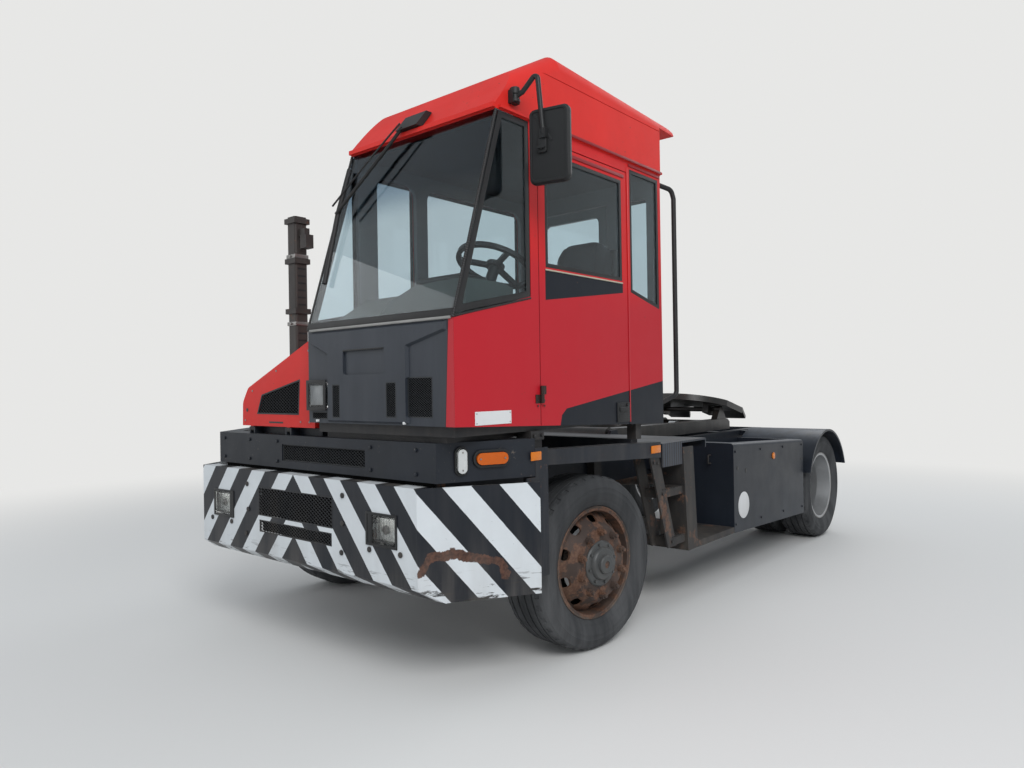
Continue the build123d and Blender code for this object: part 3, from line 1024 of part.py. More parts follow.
# Fifth wheel: plate with a round front, a throat behind the kingpin bore and sloping ramps
RAMP_Y = 300.0
RAMP_END = 490.0
with BuildPart() as plate:
    lean = radians(PLATE_TILT)
    level = Plane(origin=(0, COUPLING_Y, TILT_PIN_Z), x_dir=(1, 0, 0), z_dir=(0, -sin(lean), cos(lean)))
    with BuildSketch(level.offset(PLATE_TOP - PLATE_T)) as table:
        with BuildLine():
            Polyline((-PLATE_HALF, -60), (-PLATE_HALF, RAMP_Y), (-110, RAMP_Y), (-THROAT, 90), (THROAT, 90),
                     (110, RAMP_Y), (PLATE_HALF, RAMP_Y), (PLATE_HALF, -60))
            ThreePointArc((-PLATE_HALF, -60), (0, -390), (PLATE_HALF, -60))
        make_face()
        Circle(KINGPIN_BORE_R, mode=Mode.SUBTRACT)
    extrude(table.sketch, amount=PLATE_T)
    # Skirt under the rim of the plate
    with BuildSketch(level.offset(PLATE_TOP - PLATE_T - 20)) as skirt:
        with BuildLine():
            Line((-PLATE_HALF, -60), (-PLATE_HALF, RAMP_Y))
            ThreePointArc((-PLATE_HALF, -60), (0, -390), (PLATE_HALF, -60))
            Line((PLATE_HALF, -60), (PLATE_HALF, RAMP_Y))
            Line((PLATE_HALF, RAMP_Y), (PLATE_HALF - 14, RAMP_Y))
            Line((PLATE_HALF - 14, RAMP_Y), (PLATE_HALF - 14, -54))
            ThreePointArc((PLATE_HALF - 14, -54), (0, -376), (14 - PLATE_HALF, -54))
            Line((14 - PLATE_HALF, -54), (14 - PLATE_HALF, RAMP_Y))
            Line((14 - PLATE_HALF, RAMP_Y), (-PLATE_HALF, RAMP_Y))
        make_face()
    extrude(skirt.sketch, amount=21)
    # Ramps: they slope down from the plate's rear edge on both sides of the throat
    slant = radians(PLATE_TILT + RAMP_TILT)
    back = (0, COUPLING_Y + RAMP_Y * cos(lean) - PLATE_TOP * sin(lean),
            TILT_PIN_Z + RAMP_Y * sin(lean) + PLATE_TOP * cos(lean))
    ramp = Plane(origin=back, x_dir=(1, 0, 0), z_dir=(0, -sin(slant), cos(slant)))
    with BuildSketch(ramp.offset(-28)) as horns:
        for side in SIDES:
            with BuildLine():
                Polyline((side * 110, 0), (side * PLATE_HALF, 0), (side * (PLATE_HALF - 40), RAMP_END - RAMP_Y),
                         (side * 190, RAMP_END - RAMP_Y), close=True)
            make_face()
    extrude(horns.sketch, amount=28)
    for side in SIDES:
        with BuildSketch(level.offset(-CHEEK_DROP)) as cheek:
            with Locations((side * (CHEEK_X[0] + CHEEK_X[1]) / 2, 0)):
                Rectangle(CHEEK_X[1] - CHEEK_X[0], 160)
        extrude(cheek.sketch, amount=CHEEK_DROP + PLATE_TOP - PLATE_T)
    bar((-CHEEK_X[1] - 1, COUPLING_Y, TILT_PIN_Z), (CHEEK_X[1] + 1, COUPLING_Y, TILT_PIN_Z),
        TILT_PIN_R + PIN_GAP, mode=Mode.SUBTRACT)
keep(plate, "fifth_wheel")

# Lift cylinders: barrels on the frame's pin, rods up to the boom's cross tube
RUN = (CYLINDER_EYE[0] - CYLINDER_FOOT[0], CYLINDER_EYE[1] - CYLINDER_FOOT[1])
SPAN = hypot(*RUN)
ALONG = (0, RUN[0] / SPAN, RUN[1] / SPAN)
BARREL_START = 45.0
BORE_START = 100.0
ROD_START = 150.0
BARREL_END = SPAN - 190
with BuildPart() as barrels:
    for side in SIDES:
        x = side * CYLINDER_X
        foot = Plane(origin=(x, *CYLINDER_FOOT), x_dir=(1, 0, 0), z_dir=ALONG)
        bar((x - 35, *CYLINDER_FOOT), (x + 35, *CYLINDER_FOOT), PIVOT_R + EYE_WALL)
        with BuildSketch(foot.offset(BARREL_START)) as tube:
            Circle(BARREL_R)
        extrude(tube.sketch, amount=BARREL_END - BARREL_START)
        with BuildSketch(foot.offset(BARREL_END - 40)) as gland:
            Circle(BARREL_R + 8)
        extrude(gland.sketch, amount=40)
        with BuildSketch(foot.offset(BORE_START)) as hollow:
            Circle(ROD_R + 1)
        extrude(hollow.sketch, amount=BARREL_END, mode=Mode.SUBTRACT)
        bar((x - 36, *CYLINDER_FOOT), (x + 36, *CYLINDER_FOOT), PIVOT_R + PIN_GAP, mode=Mode.SUBTRACT)
keep(barrels, "cylinder_barrels")
with BuildPart() as rods:
    for side in SIDES:
        x = side * CYLINDER_X
        foot = Plane(origin=(x, *CYLINDER_FOOT), x_dir=(1, 0, 0), z_dir=ALONG)
        with BuildSketch(foot.offset(ROD_START)) as rod:
            Circle(ROD_R)
        extrude(rod.sketch, amount=SPAN - ROD_START)
        bar((x - 32, *CYLINDER_EYE), (x + 32, *CYLINDER_EYE), PIVOT_R + ROD_EYE_GAP + EYE_WALL)
        bar((x - 36, *CYLINDER_EYE), (x + 36, *CYLINDER_EYE), PIVOT_R + ROD_EYE_GAP, mode=Mode.SUBTRACT)
keep(rods, "cylinder_rods")


def hub_plane(side):
    """Plane of a front hub with the wheels straight: at the kingpin, its normal outwards."""
    return Plane(origin=(side * KINGPIN_X, AXLE_F, TYRE_R), x_dir=(0, 0, 1), z_dir=(side, 0, 0))


# Knuckles: two ears round the kingpin, the spindle and the steering arm
ARM_Z = TYRE_R - AXLE_EYE_H / 2 - 20
for side, name in ((1, "knuckle_left"), (-1, "knuckle_right")):
    with BuildPart() as knuckle:
        x = side * KINGPIN_X
        for low in (TYRE_R + AXLE_EYE_H / 2 + 1, TYRE_R - AXLE_EYE_H / 2 - 1 - EAR_H):
            bar((x, AXLE_F, low), (x, AXLE_F, low + EAR_H), KNUCKLE_R)
            slab(x, x + side * (BACKPLATE_X + 5), AXLE_F - KNUCKLE_R, AXLE_F + KNUCKLE_R, low, low + EAR_H)
        with BuildSketch(hub_plane(side).offset(BACKPLATE_X)) as backplate:
            Rectangle(AXLE_EYE_H + 2 * EAR_H + 2, 2 * KNUCKLE_R)
        extrude(backplate.sketch, amount=BACKPLATE_T)
        with BuildSketch(hub_plane(side).offset(BACKPLATE_X + BACKPLATE_T)) as spindle:
            Circle(SPINDLE_R)
        extrude(spindle.sketch, amount=FRONT_WHEEL_X - KINGPIN_X + FRONT_DISH + SPINDLE_TIP
                - BACKPLATE_X - BACKPLATE_T)
        bar((x, AXLE_F, ARM_Z), (x, AXLE_F + STEER_ARM, ARM_Z), 17)
        bar((x, AXLE_F + STEER_ARM, ARM_Z - TIE_ROD_DROP - 15), (x, AXLE_F + STEER_ARM, ARM_Z + 16), BALL_R)
        bar((x, AXLE_F, TYRE_R - AXLE_EYE_H / 2 - EAR_H - 2), (x, AXLE_F, TYRE_R + AXLE_EYE_H / 2 + EAR_H + 2),
            KINGPIN_R + PIN_GAP, mode=Mode.SUBTRACT)
    keep_steered(knuckle, name, side)

# Tie rod between the ends of the steering arms
ARM_TURN = radians(PARKED_STEER)
ARM_END = (-STEER_ARM * sin(ARM_TURN), AXLE_F + STEER_ARM * cos(ARM_TURN))
with BuildPart() as tie_rod:
    left, right = KINGPIN_X + ARM_END[0], -KINGPIN_X + ARM_END[0]
    rod_z = ARM_Z - TIE_ROD_DROP
    bar((left, ARM_END[1], rod_z), (right, ARM_END[1], rod_z), TIE_ROD_R)
    for x, gap in ((left, PIN_GAP), (right, FREE_END_GAP)):
        bar((x, ARM_END[1], rod_z - 17), (x, ARM_END[1], rod_z + 17), BALL_EYE_R)
        bar((x, ARM_END[1], rod_z - 18), (x, ARM_END[1], rod_z + 18), BALL_R + gap, mode=Mode.SUBTRACT)
keep(tie_rod, "tie_rod")


def turned(plane, points, mode=Mode.ADD):
    """A ring turned about a plane's normal from an outline of (radius, distance out)."""
    section = Plane(origin=plane.origin, x_dir=plane.x_dir, z_dir=plane.z_dir.cross(plane.x_dir))
    with BuildSketch(section) as outline:
        with BuildLine():
            Polyline(*[(radius, -out) for radius, out in points], close=True)
        make_face()
    revolve(outline.sketch, axis=Axis(plane.origin, plane.z_dir), mode=mode)


def tyre(plane, centre):
    """A tyre, centred some way out along the plane's normal."""
    half = TYRE_W / 2
    seat = RIM_W / 2 - RIM_FLANGE
    outline = [(RIM_R + SEAT_GAP, seat - 3), (RIM_LIP_R + SEAT_GAP, seat + 1), (RIM_LIP_R + 8, seat + 13),
               (RIM_LIP_R + 45, half - 8), (TYRE_R - 73, half), (TYRE_R - 31, half - 12), (TYRE_R - 6, half - 32),
               (TYRE_R, half - 55)]
    turned(plane, [(radius, centre - out) for radius, out in outline]
           + [(radius, centre + out) for radius, out in reversed(outline)])


def rim(plane, centre, disc, edge):
    """A rim whose disc lies at one place out and meets the barrel at another."""
    lip = RIM_W / 2
    wall = RIM_WELL
    turned(plane, [(RIM_LIP_R, centre - lip), (RIM_LIP_R, centre - lip + 10), (RIM_R, centre - lip + RIM_FLANGE),
                   (RIM_R - wall, centre), (RIM_R, centre + lip - RIM_FLANGE), (RIM_LIP_R, centre + lip - 10),
                   (RIM_LIP_R, centre + lip), (RIM_R - wall + 2, centre + lip - 4), (RIM_R - 2 * wall, centre),
                   (RIM_R - wall + 2, centre - lip + 4)])
    outer = RIM_R - 1.6 * wall + (wall + 2) * abs(edge - centre) / (lip - 4)
    turned(plane, [(HUB_R - 30, disc), (DISC_FLAT_R, disc), (outer, edge), (outer, edge - DISC_T),
                   (DISC_FLAT_R, disc - DISC_T), (HUB_R - 30, disc - DISC_T)])


def hand_holes(plane, near, far):
    """The ring of hand holes through the discs."""
    with BuildSketch(plane.offset(near)) as holes:
        with PolarLocations(HAND_HOLE_RING, HAND_HOLES):
            SlotOverall(58, 34, rotation=90)
    extrude(holes.sketch, amount=far - near, mode=Mode.SUBTRACT)


def hub(plane, disc, reach, spindle):
    """A hub with its cap and wheel nuts, in front of a disc and round a spindle."""
    bore = spindle + PIN_GAP
    cap = SPINDLE_TIP + 8
    turned(plane, [(0, disc + reach), (bore + 4, disc + reach - 3), (bore + 8, disc + reach - 9),
                   (bore + 9, disc + cap + 8), (HUB_R - 42, disc + cap + 8), (HUB_R - 32, disc + 10),
                   (HUB_R - 6, disc + 8),
                   (HUB_R, disc + 2), (HUB_R, disc - 1), (HUB_R - 20, disc - 1), (HUB_R - 20, disc - HUB_DEPTH),
                   (bore, disc - HUB_DEPTH), (bore, disc + cap), (0, disc + cap)])
    with BuildSketch(plane.offset(disc - 1)) as nuts:
        with PolarLocations(STUD_RING_R, STUDS):
            RegularPolygon(NUT_R, 6)
    extrude(nuts.sketch, amount=NUT_H + 1)


# Front wheels
FRONT_OUT = FRONT_WHEEL_X - KINGPIN_X
FRONT_DISC = FRONT_OUT + FRONT_DISH
for side, name in ((1, "left"), (-1, "right")):
    plane = hub_plane(side)
    with BuildPart() as rubber:
        tyre(plane, FRONT_OUT)
    keep_steered(rubber, f"tyre_front_{name}", side)
    with BuildPart() as wheel:
        rim(plane, FRONT_OUT, FRONT_DISC, FRONT_OUT + 45)
        hub(plane, FRONT_DISC, FRONT_REACH, SPINDLE_R)
        hand_holes(plane, FRONT_DISC + 1, FRONT_OUT)
    keep_steered(wheel, f"wheel_front_{name}", side)

# Rear wheels: twins on each side, their discs bolted back to back
REAR_DISC = REAR_OUTER_X - TWIN_SPACING / 2
REAR_DISH = 95.0
for side, name in ((1, "left"), (-1, "right")):
    plane = Plane(origin=(0, AXLE_R, TYRE_R), x_dir=(0, 0, 1), z_dir=(side, 0, 0))
    with BuildPart() as rubber:
        for centre in (REAR_OUTER_X, REAR_OUTER_X - TWIN_SPACING):
            tyre(plane, centre)
    keep(rubber, f"tyres_rear_{name}")
    with BuildPart() as wheel:
        rim(plane, REAR_OUTER_X, REAR_DISC + DISC_T, REAR_OUTER_X - REAR_DISH)
        rim(plane, REAR_OUTER_X - TWIN_SPACING, REAR_DISC, REAR_OUTER_X - TWIN_SPACING + REAR_DISH)
        hub(plane, REAR_DISC + DISC_T, 150, REAR_SPINDLE_R)
        hand_holes(plane, REAR_OUTER_X - 60, REAR_OUTER_X - TWIN_SPACING + 60)
    keep(wheel, f"wheels_rear_{name}")

# Lamps on the rear end plate
with BuildPart() as rear_lamps:
    for side in SIDES:
        slab(side * 250, side * 400, RAIL_REAR + END_PLATE_T + SEAT_GAP, REAR, 730, 830)
keep(rear_lamps, "rear_lamps")
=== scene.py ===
from math import atan2, cos, hypot, pi, radians, sin

import bmesh
import bpy
from mathutils import Matrix, Vector


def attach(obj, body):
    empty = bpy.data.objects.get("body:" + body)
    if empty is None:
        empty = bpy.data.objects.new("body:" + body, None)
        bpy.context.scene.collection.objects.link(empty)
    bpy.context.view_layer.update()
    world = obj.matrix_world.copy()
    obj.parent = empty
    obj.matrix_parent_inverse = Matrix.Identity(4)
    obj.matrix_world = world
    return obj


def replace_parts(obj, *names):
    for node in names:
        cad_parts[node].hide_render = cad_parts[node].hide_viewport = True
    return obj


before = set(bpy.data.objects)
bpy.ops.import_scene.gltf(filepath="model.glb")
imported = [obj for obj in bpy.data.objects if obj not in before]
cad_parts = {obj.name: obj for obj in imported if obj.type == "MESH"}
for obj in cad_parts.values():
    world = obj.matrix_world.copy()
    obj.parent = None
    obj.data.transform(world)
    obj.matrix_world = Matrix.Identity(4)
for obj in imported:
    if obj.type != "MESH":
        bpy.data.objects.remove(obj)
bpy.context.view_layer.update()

# Metres. X runs towards the tractor's left side, Y towards its rear, Z up.
# Pieces are placed from the middle plane of the frame and from the front axle.
MIDDLE = -0.104
AXLE = -1.523
REAR_AXLE = 3.650
TYRE_R = 0.463
CAB_LEFT = 1.190
CAB_RIGHT = 0.130
CAB_FRONT = -1.099
CAB_REAR = 0.712
NOSE = -1.117
SILL = 1.725
GLASS_TOP = (-0.795, 2.690)
STEER_DEGREES = -6.3
KINGPIN_X = 0.860


def at(x, y, z):
    """A point of the tractor in the frame of the model."""
    return Vector((x + MIDDLE, y + AXLE, z))


# Camera, at the photograph's place and angle
CAMERA_AT = (3.4198, -3.3462, 1.4165)
CAMERA_TURN = (0.7036, 0.0025, -0.0157)
FOCAL_PIXELS = 740.0
PHOTO_WIDTH = 1024
camera_data = bpy.data.cameras.new("camera")
camera_data.sensor_width = 36.0
camera_data.lens = FOCAL_PIXELS / PHOTO_WIDTH * camera_data.sensor_width
camera = bpy.data.objects.new("camera", camera_data)
bpy.context.collection.objects.link(camera)
turn, rise, roll = CAMERA_TURN
camera.matrix_world = (Matrix.Translation(at(*CAMERA_AT)) @ Matrix.Rotation(turn, 4, "Z")
                       @ Matrix.Rotation(pi / 2 + rise, 4, "X") @ Matrix.Rotation(roll, 4, "Z"))
bpy.context.scene.camera = camera
bpy.context.scene.view_settings.view_transform = "Standard"


# Materials: each is worked out from the place on the piece, in the object's own coordinates

class Number:
    """A number in a material's node tree. Sums on it add Math nodes."""

    def __init__(self, socket):
        self.socket = socket

    def sum(self, kind, other=0.0, swapped=False):
        """The result of a Math node on this number and another one."""
        step = self.socket.id_data.nodes.new("ShaderNodeMath")
        step.operation = kind
        for value, socket in zip((other, self) if swapped else (self, other), step.inputs):
            feed(value, socket)
        return Number(step.outputs[0])

    def __add__(self, other):
        return self.sum("ADD", other)

    def __sub__(self, other):
        return self.sum("SUBTRACT", other)

    def __rsub__(self, other):
        return self.sum("SUBTRACT", other, True)

    def __mul__(self, other):
        return self.sum("MULTIPLY", other)

    def __mod__(self, other):
        return self.sum("MODULO", other)

    def __neg__(self):
        return self.sum("MULTIPLY", -1.0)

    def __abs__(self):
        return self.sum("ABSOLUTE")


def feed(value, socket):
    """Feeds a socket from a number or another socket, or sets it to a value."""
    if isinstance(value, Number):
        value = value.socket
    if isinstance(value, bpy.types.NodeSocket):
        socket.id_data.links.new(value, socket)
    elif isinstance(value, tuple) and socket.type == "RGBA":
        socket.default_value = (*value, 1)
    else:
        socket.default_value = value


def least(a, b):
    """The smaller of two numbers."""
    return a.sum("MINIMUM", b)


def most(a, b):
    """The larger of two numbers."""
    return a.sum("MAXIMUM", b)


def fade(value, low, high):
    """0 below the first limit, 1 above the second, smooth between them."""
    step = value.socket.id_data.nodes.new("ShaderNodeMapRange")
    step.interpolation_type = "SMOOTHSTEP"
    feed(value, step.inputs["Value"])
    step.inputs["From Min"].default_value = low
    step.inputs["From Max"].default_value = high
    return Number(step.outputs[0])


def inside(value, low, high, soft=0.001):
    """1 between two limits, 0 outside them."""
    return fade(value, low - soft, low + soft) * (1.0 - fade(value, high - soft, high + soft))


def blend(share, a, b):
    """Two colours mixed."""
    step = share.socket.id_data.nodes.new("ShaderNodeMix")
    step.data_type = "RGBA"
    for value, number in ((share, 0), (a, 6), (b, 7)):
        feed(value, step.inputs[number])
    return step.outputs[2]


def tone(colour, factor):
    """A colour made lighter or darker."""
    return tuple(c * factor for c in colour)


def parts_of(vector):
    """X, Y and Z of a vector."""
    split = vector.id_data.nodes.new("ShaderNodeSeparateXYZ")
    feed(vector, split.inputs[0])
    return [Number(socket) for socket in split.outputs]


class Spot:
    """The place on a piece, with its coordinates and the noise there."""

    def __init__(self, tree):
        coords = tree.nodes.new("ShaderNodeTexCoord")
        self.place = coords.outputs["Object"]
        self.normal = coords.outputs["Normal"]
        self.along = self.x, self.y, self.z = parts_of(self.place)

    def mottle(self, scale, detail=4.0, rough=0.55, stretch=None):
        """Cloudy noise over the piece."""
        nodes, place = self.place.id_data.nodes, self.place
        if stretch:
            squeeze = nodes.new("ShaderNodeMapping")
            feed(place, squeeze.inputs["Vector"])
            squeeze.inputs["Scale"].default_value = stretch
            place = squeeze.outputs[0]
        cloud = nodes.new("ShaderNodeTexNoise")
        for socket, value in (("Vector", place), ("Scale", scale), ("Detail", detail), ("Roughness", rough)):
            feed(value, cloud.inputs[socket])
        return Number(cloud.outputs["Fac"])


def new_material(name):
    """A material with its shader and the spot it is worked out at."""
    material = bpy.data.materials.new(name)
    material.use_nodes = True
    return material, material.node_tree.nodes["Principled BSDF"].inputs, Spot(material.node_tree)


def worn(name, colour, patchy=0.82, rough=(0.35, 0.55), metal=0.0, coat=0.0, dust=0.3,
         dust_colour=(0.21, 0.18, 0.15), dust_height=1.0, chips=0.0, chip_colour=(0.09, 0.045, 0.03),
         grain=400.0, bump=0.05, top_dust=0.25, pattern=None, lumps=0.0, shine=0.5):
    """A used surface: patchy colour, dust low down and on top, chips, uneven gloss and a fine grain."""
    material, shader, spot = new_material(name)
    colour = blend(fade(spot.mottle(2.3, 6.0, 0.62), 0.35, 0.68), tone(colour, patchy), colour)
    if pattern:
        colour = pattern(spot, colour)
    if dust:
        low = 1.0 - fade(spot.z, 0.25, dust_height)
        streaks = fade(spot.mottle(9.0, 5.0, 0.6, (1.0, 1.0, 0.12)), 0.3, 0.75)
        colour = blend((low * 0.85 + 0.15) * dust * streaks, colour, dust_colour)
    if top_dust:
        upward = fade(parts_of(spot.normal)[2], 0.75, 1.0)
        colour = blend(upward * (fade(spot.mottle(14.0), 0.3, 0.7) * top_dust), colour, dust_colour)
    if chips:
        chipped = 0.70 - chips * 0.12
        spots = fade(spot.mottle(46.0, 6.0, 0.7), chipped, chipped + 0.015)
        colour = blend(spots * fade(spot.mottle(3.1, 3.0), 0.46, 0.60), colour, chip_colour)
    feed(colour, shader["Base Color"])
    feed(spot.mottle(7.0, 5.0) * (rough[1] - rough[0]) + rough[0], shader["Roughness"])
    shader["Metallic"].default_value = metal
    shader["Coat Weight"].default_value = coat
    shader["Coat Roughness"].default_value = 0.12
    shader["Specular IOR Level"].default_value = shine
    relief = material.node_tree.nodes.new("ShaderNodeBump")
    relief.inputs["Strength"].default_value = bump
    relief.inputs["Distance"].default_value = 0.002
    height = spot.mottle(grain, 3.0)
    if lumps:
        height = height + spot.mottle(35.0, 5.0) * lumps
    feed(height, relief.inputs["Height"])
    feed(relief.outputs[0], shader["Normal"])
    return material


def see_through(name, colour, rough=0.0, pattern=None):
    """A pane: light goes through it tinted, and faint smears dull it a little."""
    material, shader, spot = new_material(name)
    tint = blend(fade(spot.mottle(3.0, 7.0, 0.6), 0.40, 0.85), colour, tone(colour, 0.95))
    if pattern:
        tint = pattern(spot, tint)
    feed(tint, shader["Base Color"])
    shader["Roughness"].default_value = rough
    shader["Transmission Weight"].default_value = 1.0
    shader["IOR"].default_value = 1.35
    return material


RED = (0.60, 0.012, 0.014)
DEEP_RED = (0.46, 0.010, 0.020)
NAVY = (0.013, 0.017, 0.025)
WEDGE = (0.004, 0.007, 0.013)
STRIPE_WHITE = (0.66, 0.70, 0.73)
LINING = (0.10, 0.115, 0.12)
BLACK = (0.012, 0.012, 0.013)
SEAM_BLACK = (0.006, 0.006, 0.007)
RUST = ((0.085, 0.038, 0.022), (0.15, 0.075, 0.045))
DARK_RUST = ((0.045, 0.020, 0.014), (0.105, 0.045, 0.028))
HINGE_BROWN = (0.030, 0.018, 0.015)
TOP_BLUE = (0.28, 0.36, 0.44)

# The hood's lower edge, below which its red turns to black painted shade on the lugs
HOOD_EDGE = (1.2060, 1.2075)
# The seam in the grey panel: where it starts, across and up, and how far it leans out as it rises
CORNER_SEAM = (1.136, 1.243, 0.05)
SEAM_HALF = 0.0005
# The dark flash that rises along the foot of door and panel, and the wedge under the door's window
FLASH = ((-0.356, 1.170), (-0.331, 1.265), (-0.289, 1.297), (0.719, 1.434))
WEDGE_LINE = ((-0.449, 1.838), (0.270, 1.934))
WEDGE_HEIGHT = (1.7, 1.990)
WEDGE_SPAN = (-0.452, 0.268)
HINGE_SPAN = (-0.570, -0.440)


def cab_reds(spot, colour):
    """Bright red above and a deeper red on the lower panels."""
    return blend(fade(spot.z + spot.mottle(1.4) * 0.5, 2.05, 2.35), DEEP_RED, colour)


def hood_red_and_shade(spot, colour):
    """The hood's red down to its lower edge, and black painted shade on the lugs below it."""
    return blend(fade(spot.z, *HOOD_EDGE), BLACK, colour)


def wrapped_edge(spot, colour):
    """The red side sheet wraps round the left front corner of the grey panel, up to a dark seam."""
    across, up, lean = CORNER_SEAM
    past = spot.x - ((spot.z - up) * lean + (across + MIDDLE))
    colour = blend(fade(past, -SEAM_HALF, SEAM_HALF), colour, DEEP_RED)
    return blend(inside(past, -0.0035, 0.0), colour, SEAM_BLACK)


def lined(axis, low, high):
    """The cab's reds, with the lining's colour between two planes on the inside."""
    def paint(spot, colour):
        return blend(inside(spot.along[axis], low, high), cab_reds(spot, colour), LINING)
    return paint


def below_line(spot, start, end):
    """How far a spot lies below a slanting line along the side."""
    slope = (end[1] - start[1]) / (end[0] - start[0])
    return (spot.y - (start[0] + AXLE)) * slope + start[1] - spot.z


def side_reds(window):
    """The left side's reds with its dark flash, and the wedge under the door's window."""
    def paint(spot, colour):
        flash = below_line(spot, *FLASH[:2])
        for start, end in zip(FLASH[1:], FLASH[2:]):
            flash = least(flash, below_line(spot, start, end))
        dark = fade(flash, -0.001, 0.001)
        if window:
            wedge = fade(-below_line(spot, *WEDGE_LINE), -0.001, 0.001) * inside(spot.z, *WEDGE_HEIGHT)
            dark = most(dark, wedge * inside(spot.y, *[y + AXLE for y in WEDGE_SPAN]))
        colour = blend(dark, cab_reds(spot, colour), WEDGE)
        proud = fade(spot.x, CAB_LEFT + MIDDLE + 0.0006, CAB_LEFT + MIDDLE + 0.0012)
        colour = blend(proud * inside(spot.y, *[y + AXLE for y in HINGE_SPAN]), colour, HINGE_BROWN)
        return blend(inside(spot.x, 1.0, CAB_LEFT + MIDDLE - 0.008), colour, LINING)
    return paint


STRIPE = 0.1345
STRIPE_TOP = 0.968
STRIPE_SLANT = 0.84
BUMPER_FOLD = 0.961
# Length along a swept end for each metre across
SWEEP = 1.893
SCAR = ((0.010, 0.590), (0.065, 0.652), (0.150, 0.664), (0.250, 0.640), (0.395, 0.600), (0.405, 0.545))


def gap_to(line, u, v):
    """Distance from a line through points."""
    nearest = None
    for (u0, v0), (u1, v1) in zip(line, line[1:]):
        length = hypot(u1 - u0, v1 - v0)
        du, dv = (u1 - u0) / length, (v1 - v0) / length
        along = least(most((u - u0) * du + (v - v0) * dv, 0.0), length)
        off_u, off_v = u - u0 - along * du, v - v0 - along * dv
        gap = (off_u * off_u + off_v * off_v).sum("SQRT")
        nearest = least(nearest, gap) if nearest else gap
    return nearest


def chevrons(spot, colour):
    """White and dark stripes that fall away from the middle, with a rusty scar on the left end."""
    x = spot.x - MIDDLE
    along = least(abs(x), BUMPER_FOLD) + most(abs(x) - BUMPER_FOLD, 0.0) * SWEEP
    reach = along - (STRIPE_TOP - spot.z) * STRIPE_SLANT + spot.mottle(30.0) * 0.004
    colour = blend(inside((reach + 20 * STRIPE) % (2 * STRIPE), 0.0, STRIPE, 0.0015), WEDGE, colour)
    # Scrapes along the lower bend
    low = 1.0 - fade(spot.z, 0.47, 0.60)
    scraped = fade(spot.mottle(16.0, 6.0, 0.7, (0.35, 0.35, 2.4)), 0.56, 0.60)
    colour = blend(low * scraped, colour, BLACK)
    # The scar: wavy, and wider in some places than in others
    wobble = (spot.mottle(22.0, 6.0, 0.7) - 0.5) * 0.055
    width = fade(spot.mottle(7.0, 3.0), 0.35, 0.65) * 0.016 + 0.010
    edge = gap_to(SCAR, (x - BUMPER_FOLD) * SWEEP, spot.z) + wobble - width
    rust = blend(fade(spot.mottle(60.0, 5.0), 0.35, 0.65), *DARK_RUST)
    return blend(1.0 - fade(edge, -0.002, 0.002), colour, rust)


def rusting(amount, scale=6.0):
    """Rust that creeps over a paint in patches."""
    def paint(spot, colour):
        start = 0.62 - amount * 0.3
        rust = blend(fade(spot.mottle(70.0, 5.0), 0.35, 0.7), *RUST)
        return blend(fade(spot.mottle(scale, 7.0, 0.66), start, start + 0.06), colour, rust)
    return paint


def tread_pattern(spot, colour):
    """Small raised bars in two directions, rubbed bright, as on checker plate."""
    waves = [(across * 110.0).sum("SINE") for across in (spot.x + spot.y, spot.x - spot.y)]
    return blend(fade(waves[0] * waves[1], 0.45, 0.7), colour, tone(NAVY, 3.0))


def top_tint(spot, tint):
    """The darker band across the top of the windshield."""
    return blend(fade(spot.z, 2.22, 2.44), tint, TOP_BLUE)


# Paints of the cab and the hood
SIDE_PAINT = dict(patchy=0.88, rough=(0.34, 0.52), coat=0.03, shine=0.25, dust=0.06, dust_height=1.5,
                  chips=0.35, top_dust=0.0)
red = worn("red_paint", RED, 0.86, (0.32, 0.50), coat=0.12, dust=0.10, dust_height=1.6, chips=0.35,
           top_dust=0.12, pattern=cab_reds)
red_right = worn("red_paint_right_wall", RED, 0.86, (0.32, 0.50), coat=0.12, dust=0.10, dust_height=1.6,
                 chips=0.3, pattern=lined(0, CAB_RIGHT + MIDDLE + 0.008, 1.0))
red_rear = worn("red_paint_rear_wall", RED, 0.86, (0.36, 0.54), coat=0.03, shine=0.25, dust=0.12,
                dust_height=1.6, chips=0.3, pattern=lined(1, CAB_REAR + AXLE - 0.2, CAB_REAR + AXLE - 0.008))
red_wall = worn("red_paint_left_wall", RED, pattern=side_reds(False), **SIDE_PAINT)
red_door = worn("red_paint_door", RED, pattern=side_reds(True), **SIDE_PAINT)
red_roof = worn("red_paint_roof", (0.68, 0.022, 0.016), 0.9, (0.44, 0.62), coat=0.02, shine=0.25, dust=0.0,
                chips=0.45, top_dust=0.2, dust_colour=(0.30, 0.10, 0.08))
red_hood = worn("red_paint_hood", (0.62, 0.020, 0.016), 0.88, (0.38, 0.56), coat=0.03, shine=0.25, dust=0.08,
                dust_height=1.5, chips=0.3, top_dust=0.15, dust_colour=(0.30, 0.12, 0.10), pattern=hood_red_and_shade)
dull_red = worn("crimson_strip", (0.26, 0.008, 0.014), 0.8, (0.4, 0.6), dust=0.0, top_dust=0.1)
panel_grey = worn("grey_panel", (0.030, 0.036, 0.047), 0.84, (0.34, 0.52), dust=0.22, dust_height=2.2,
                  chips=0.15, dust_colour=(0.16, 0.17, 0.18), top_dust=0.5, grain=700.0, shine=0.3,
                  pattern=wrapped_edge)

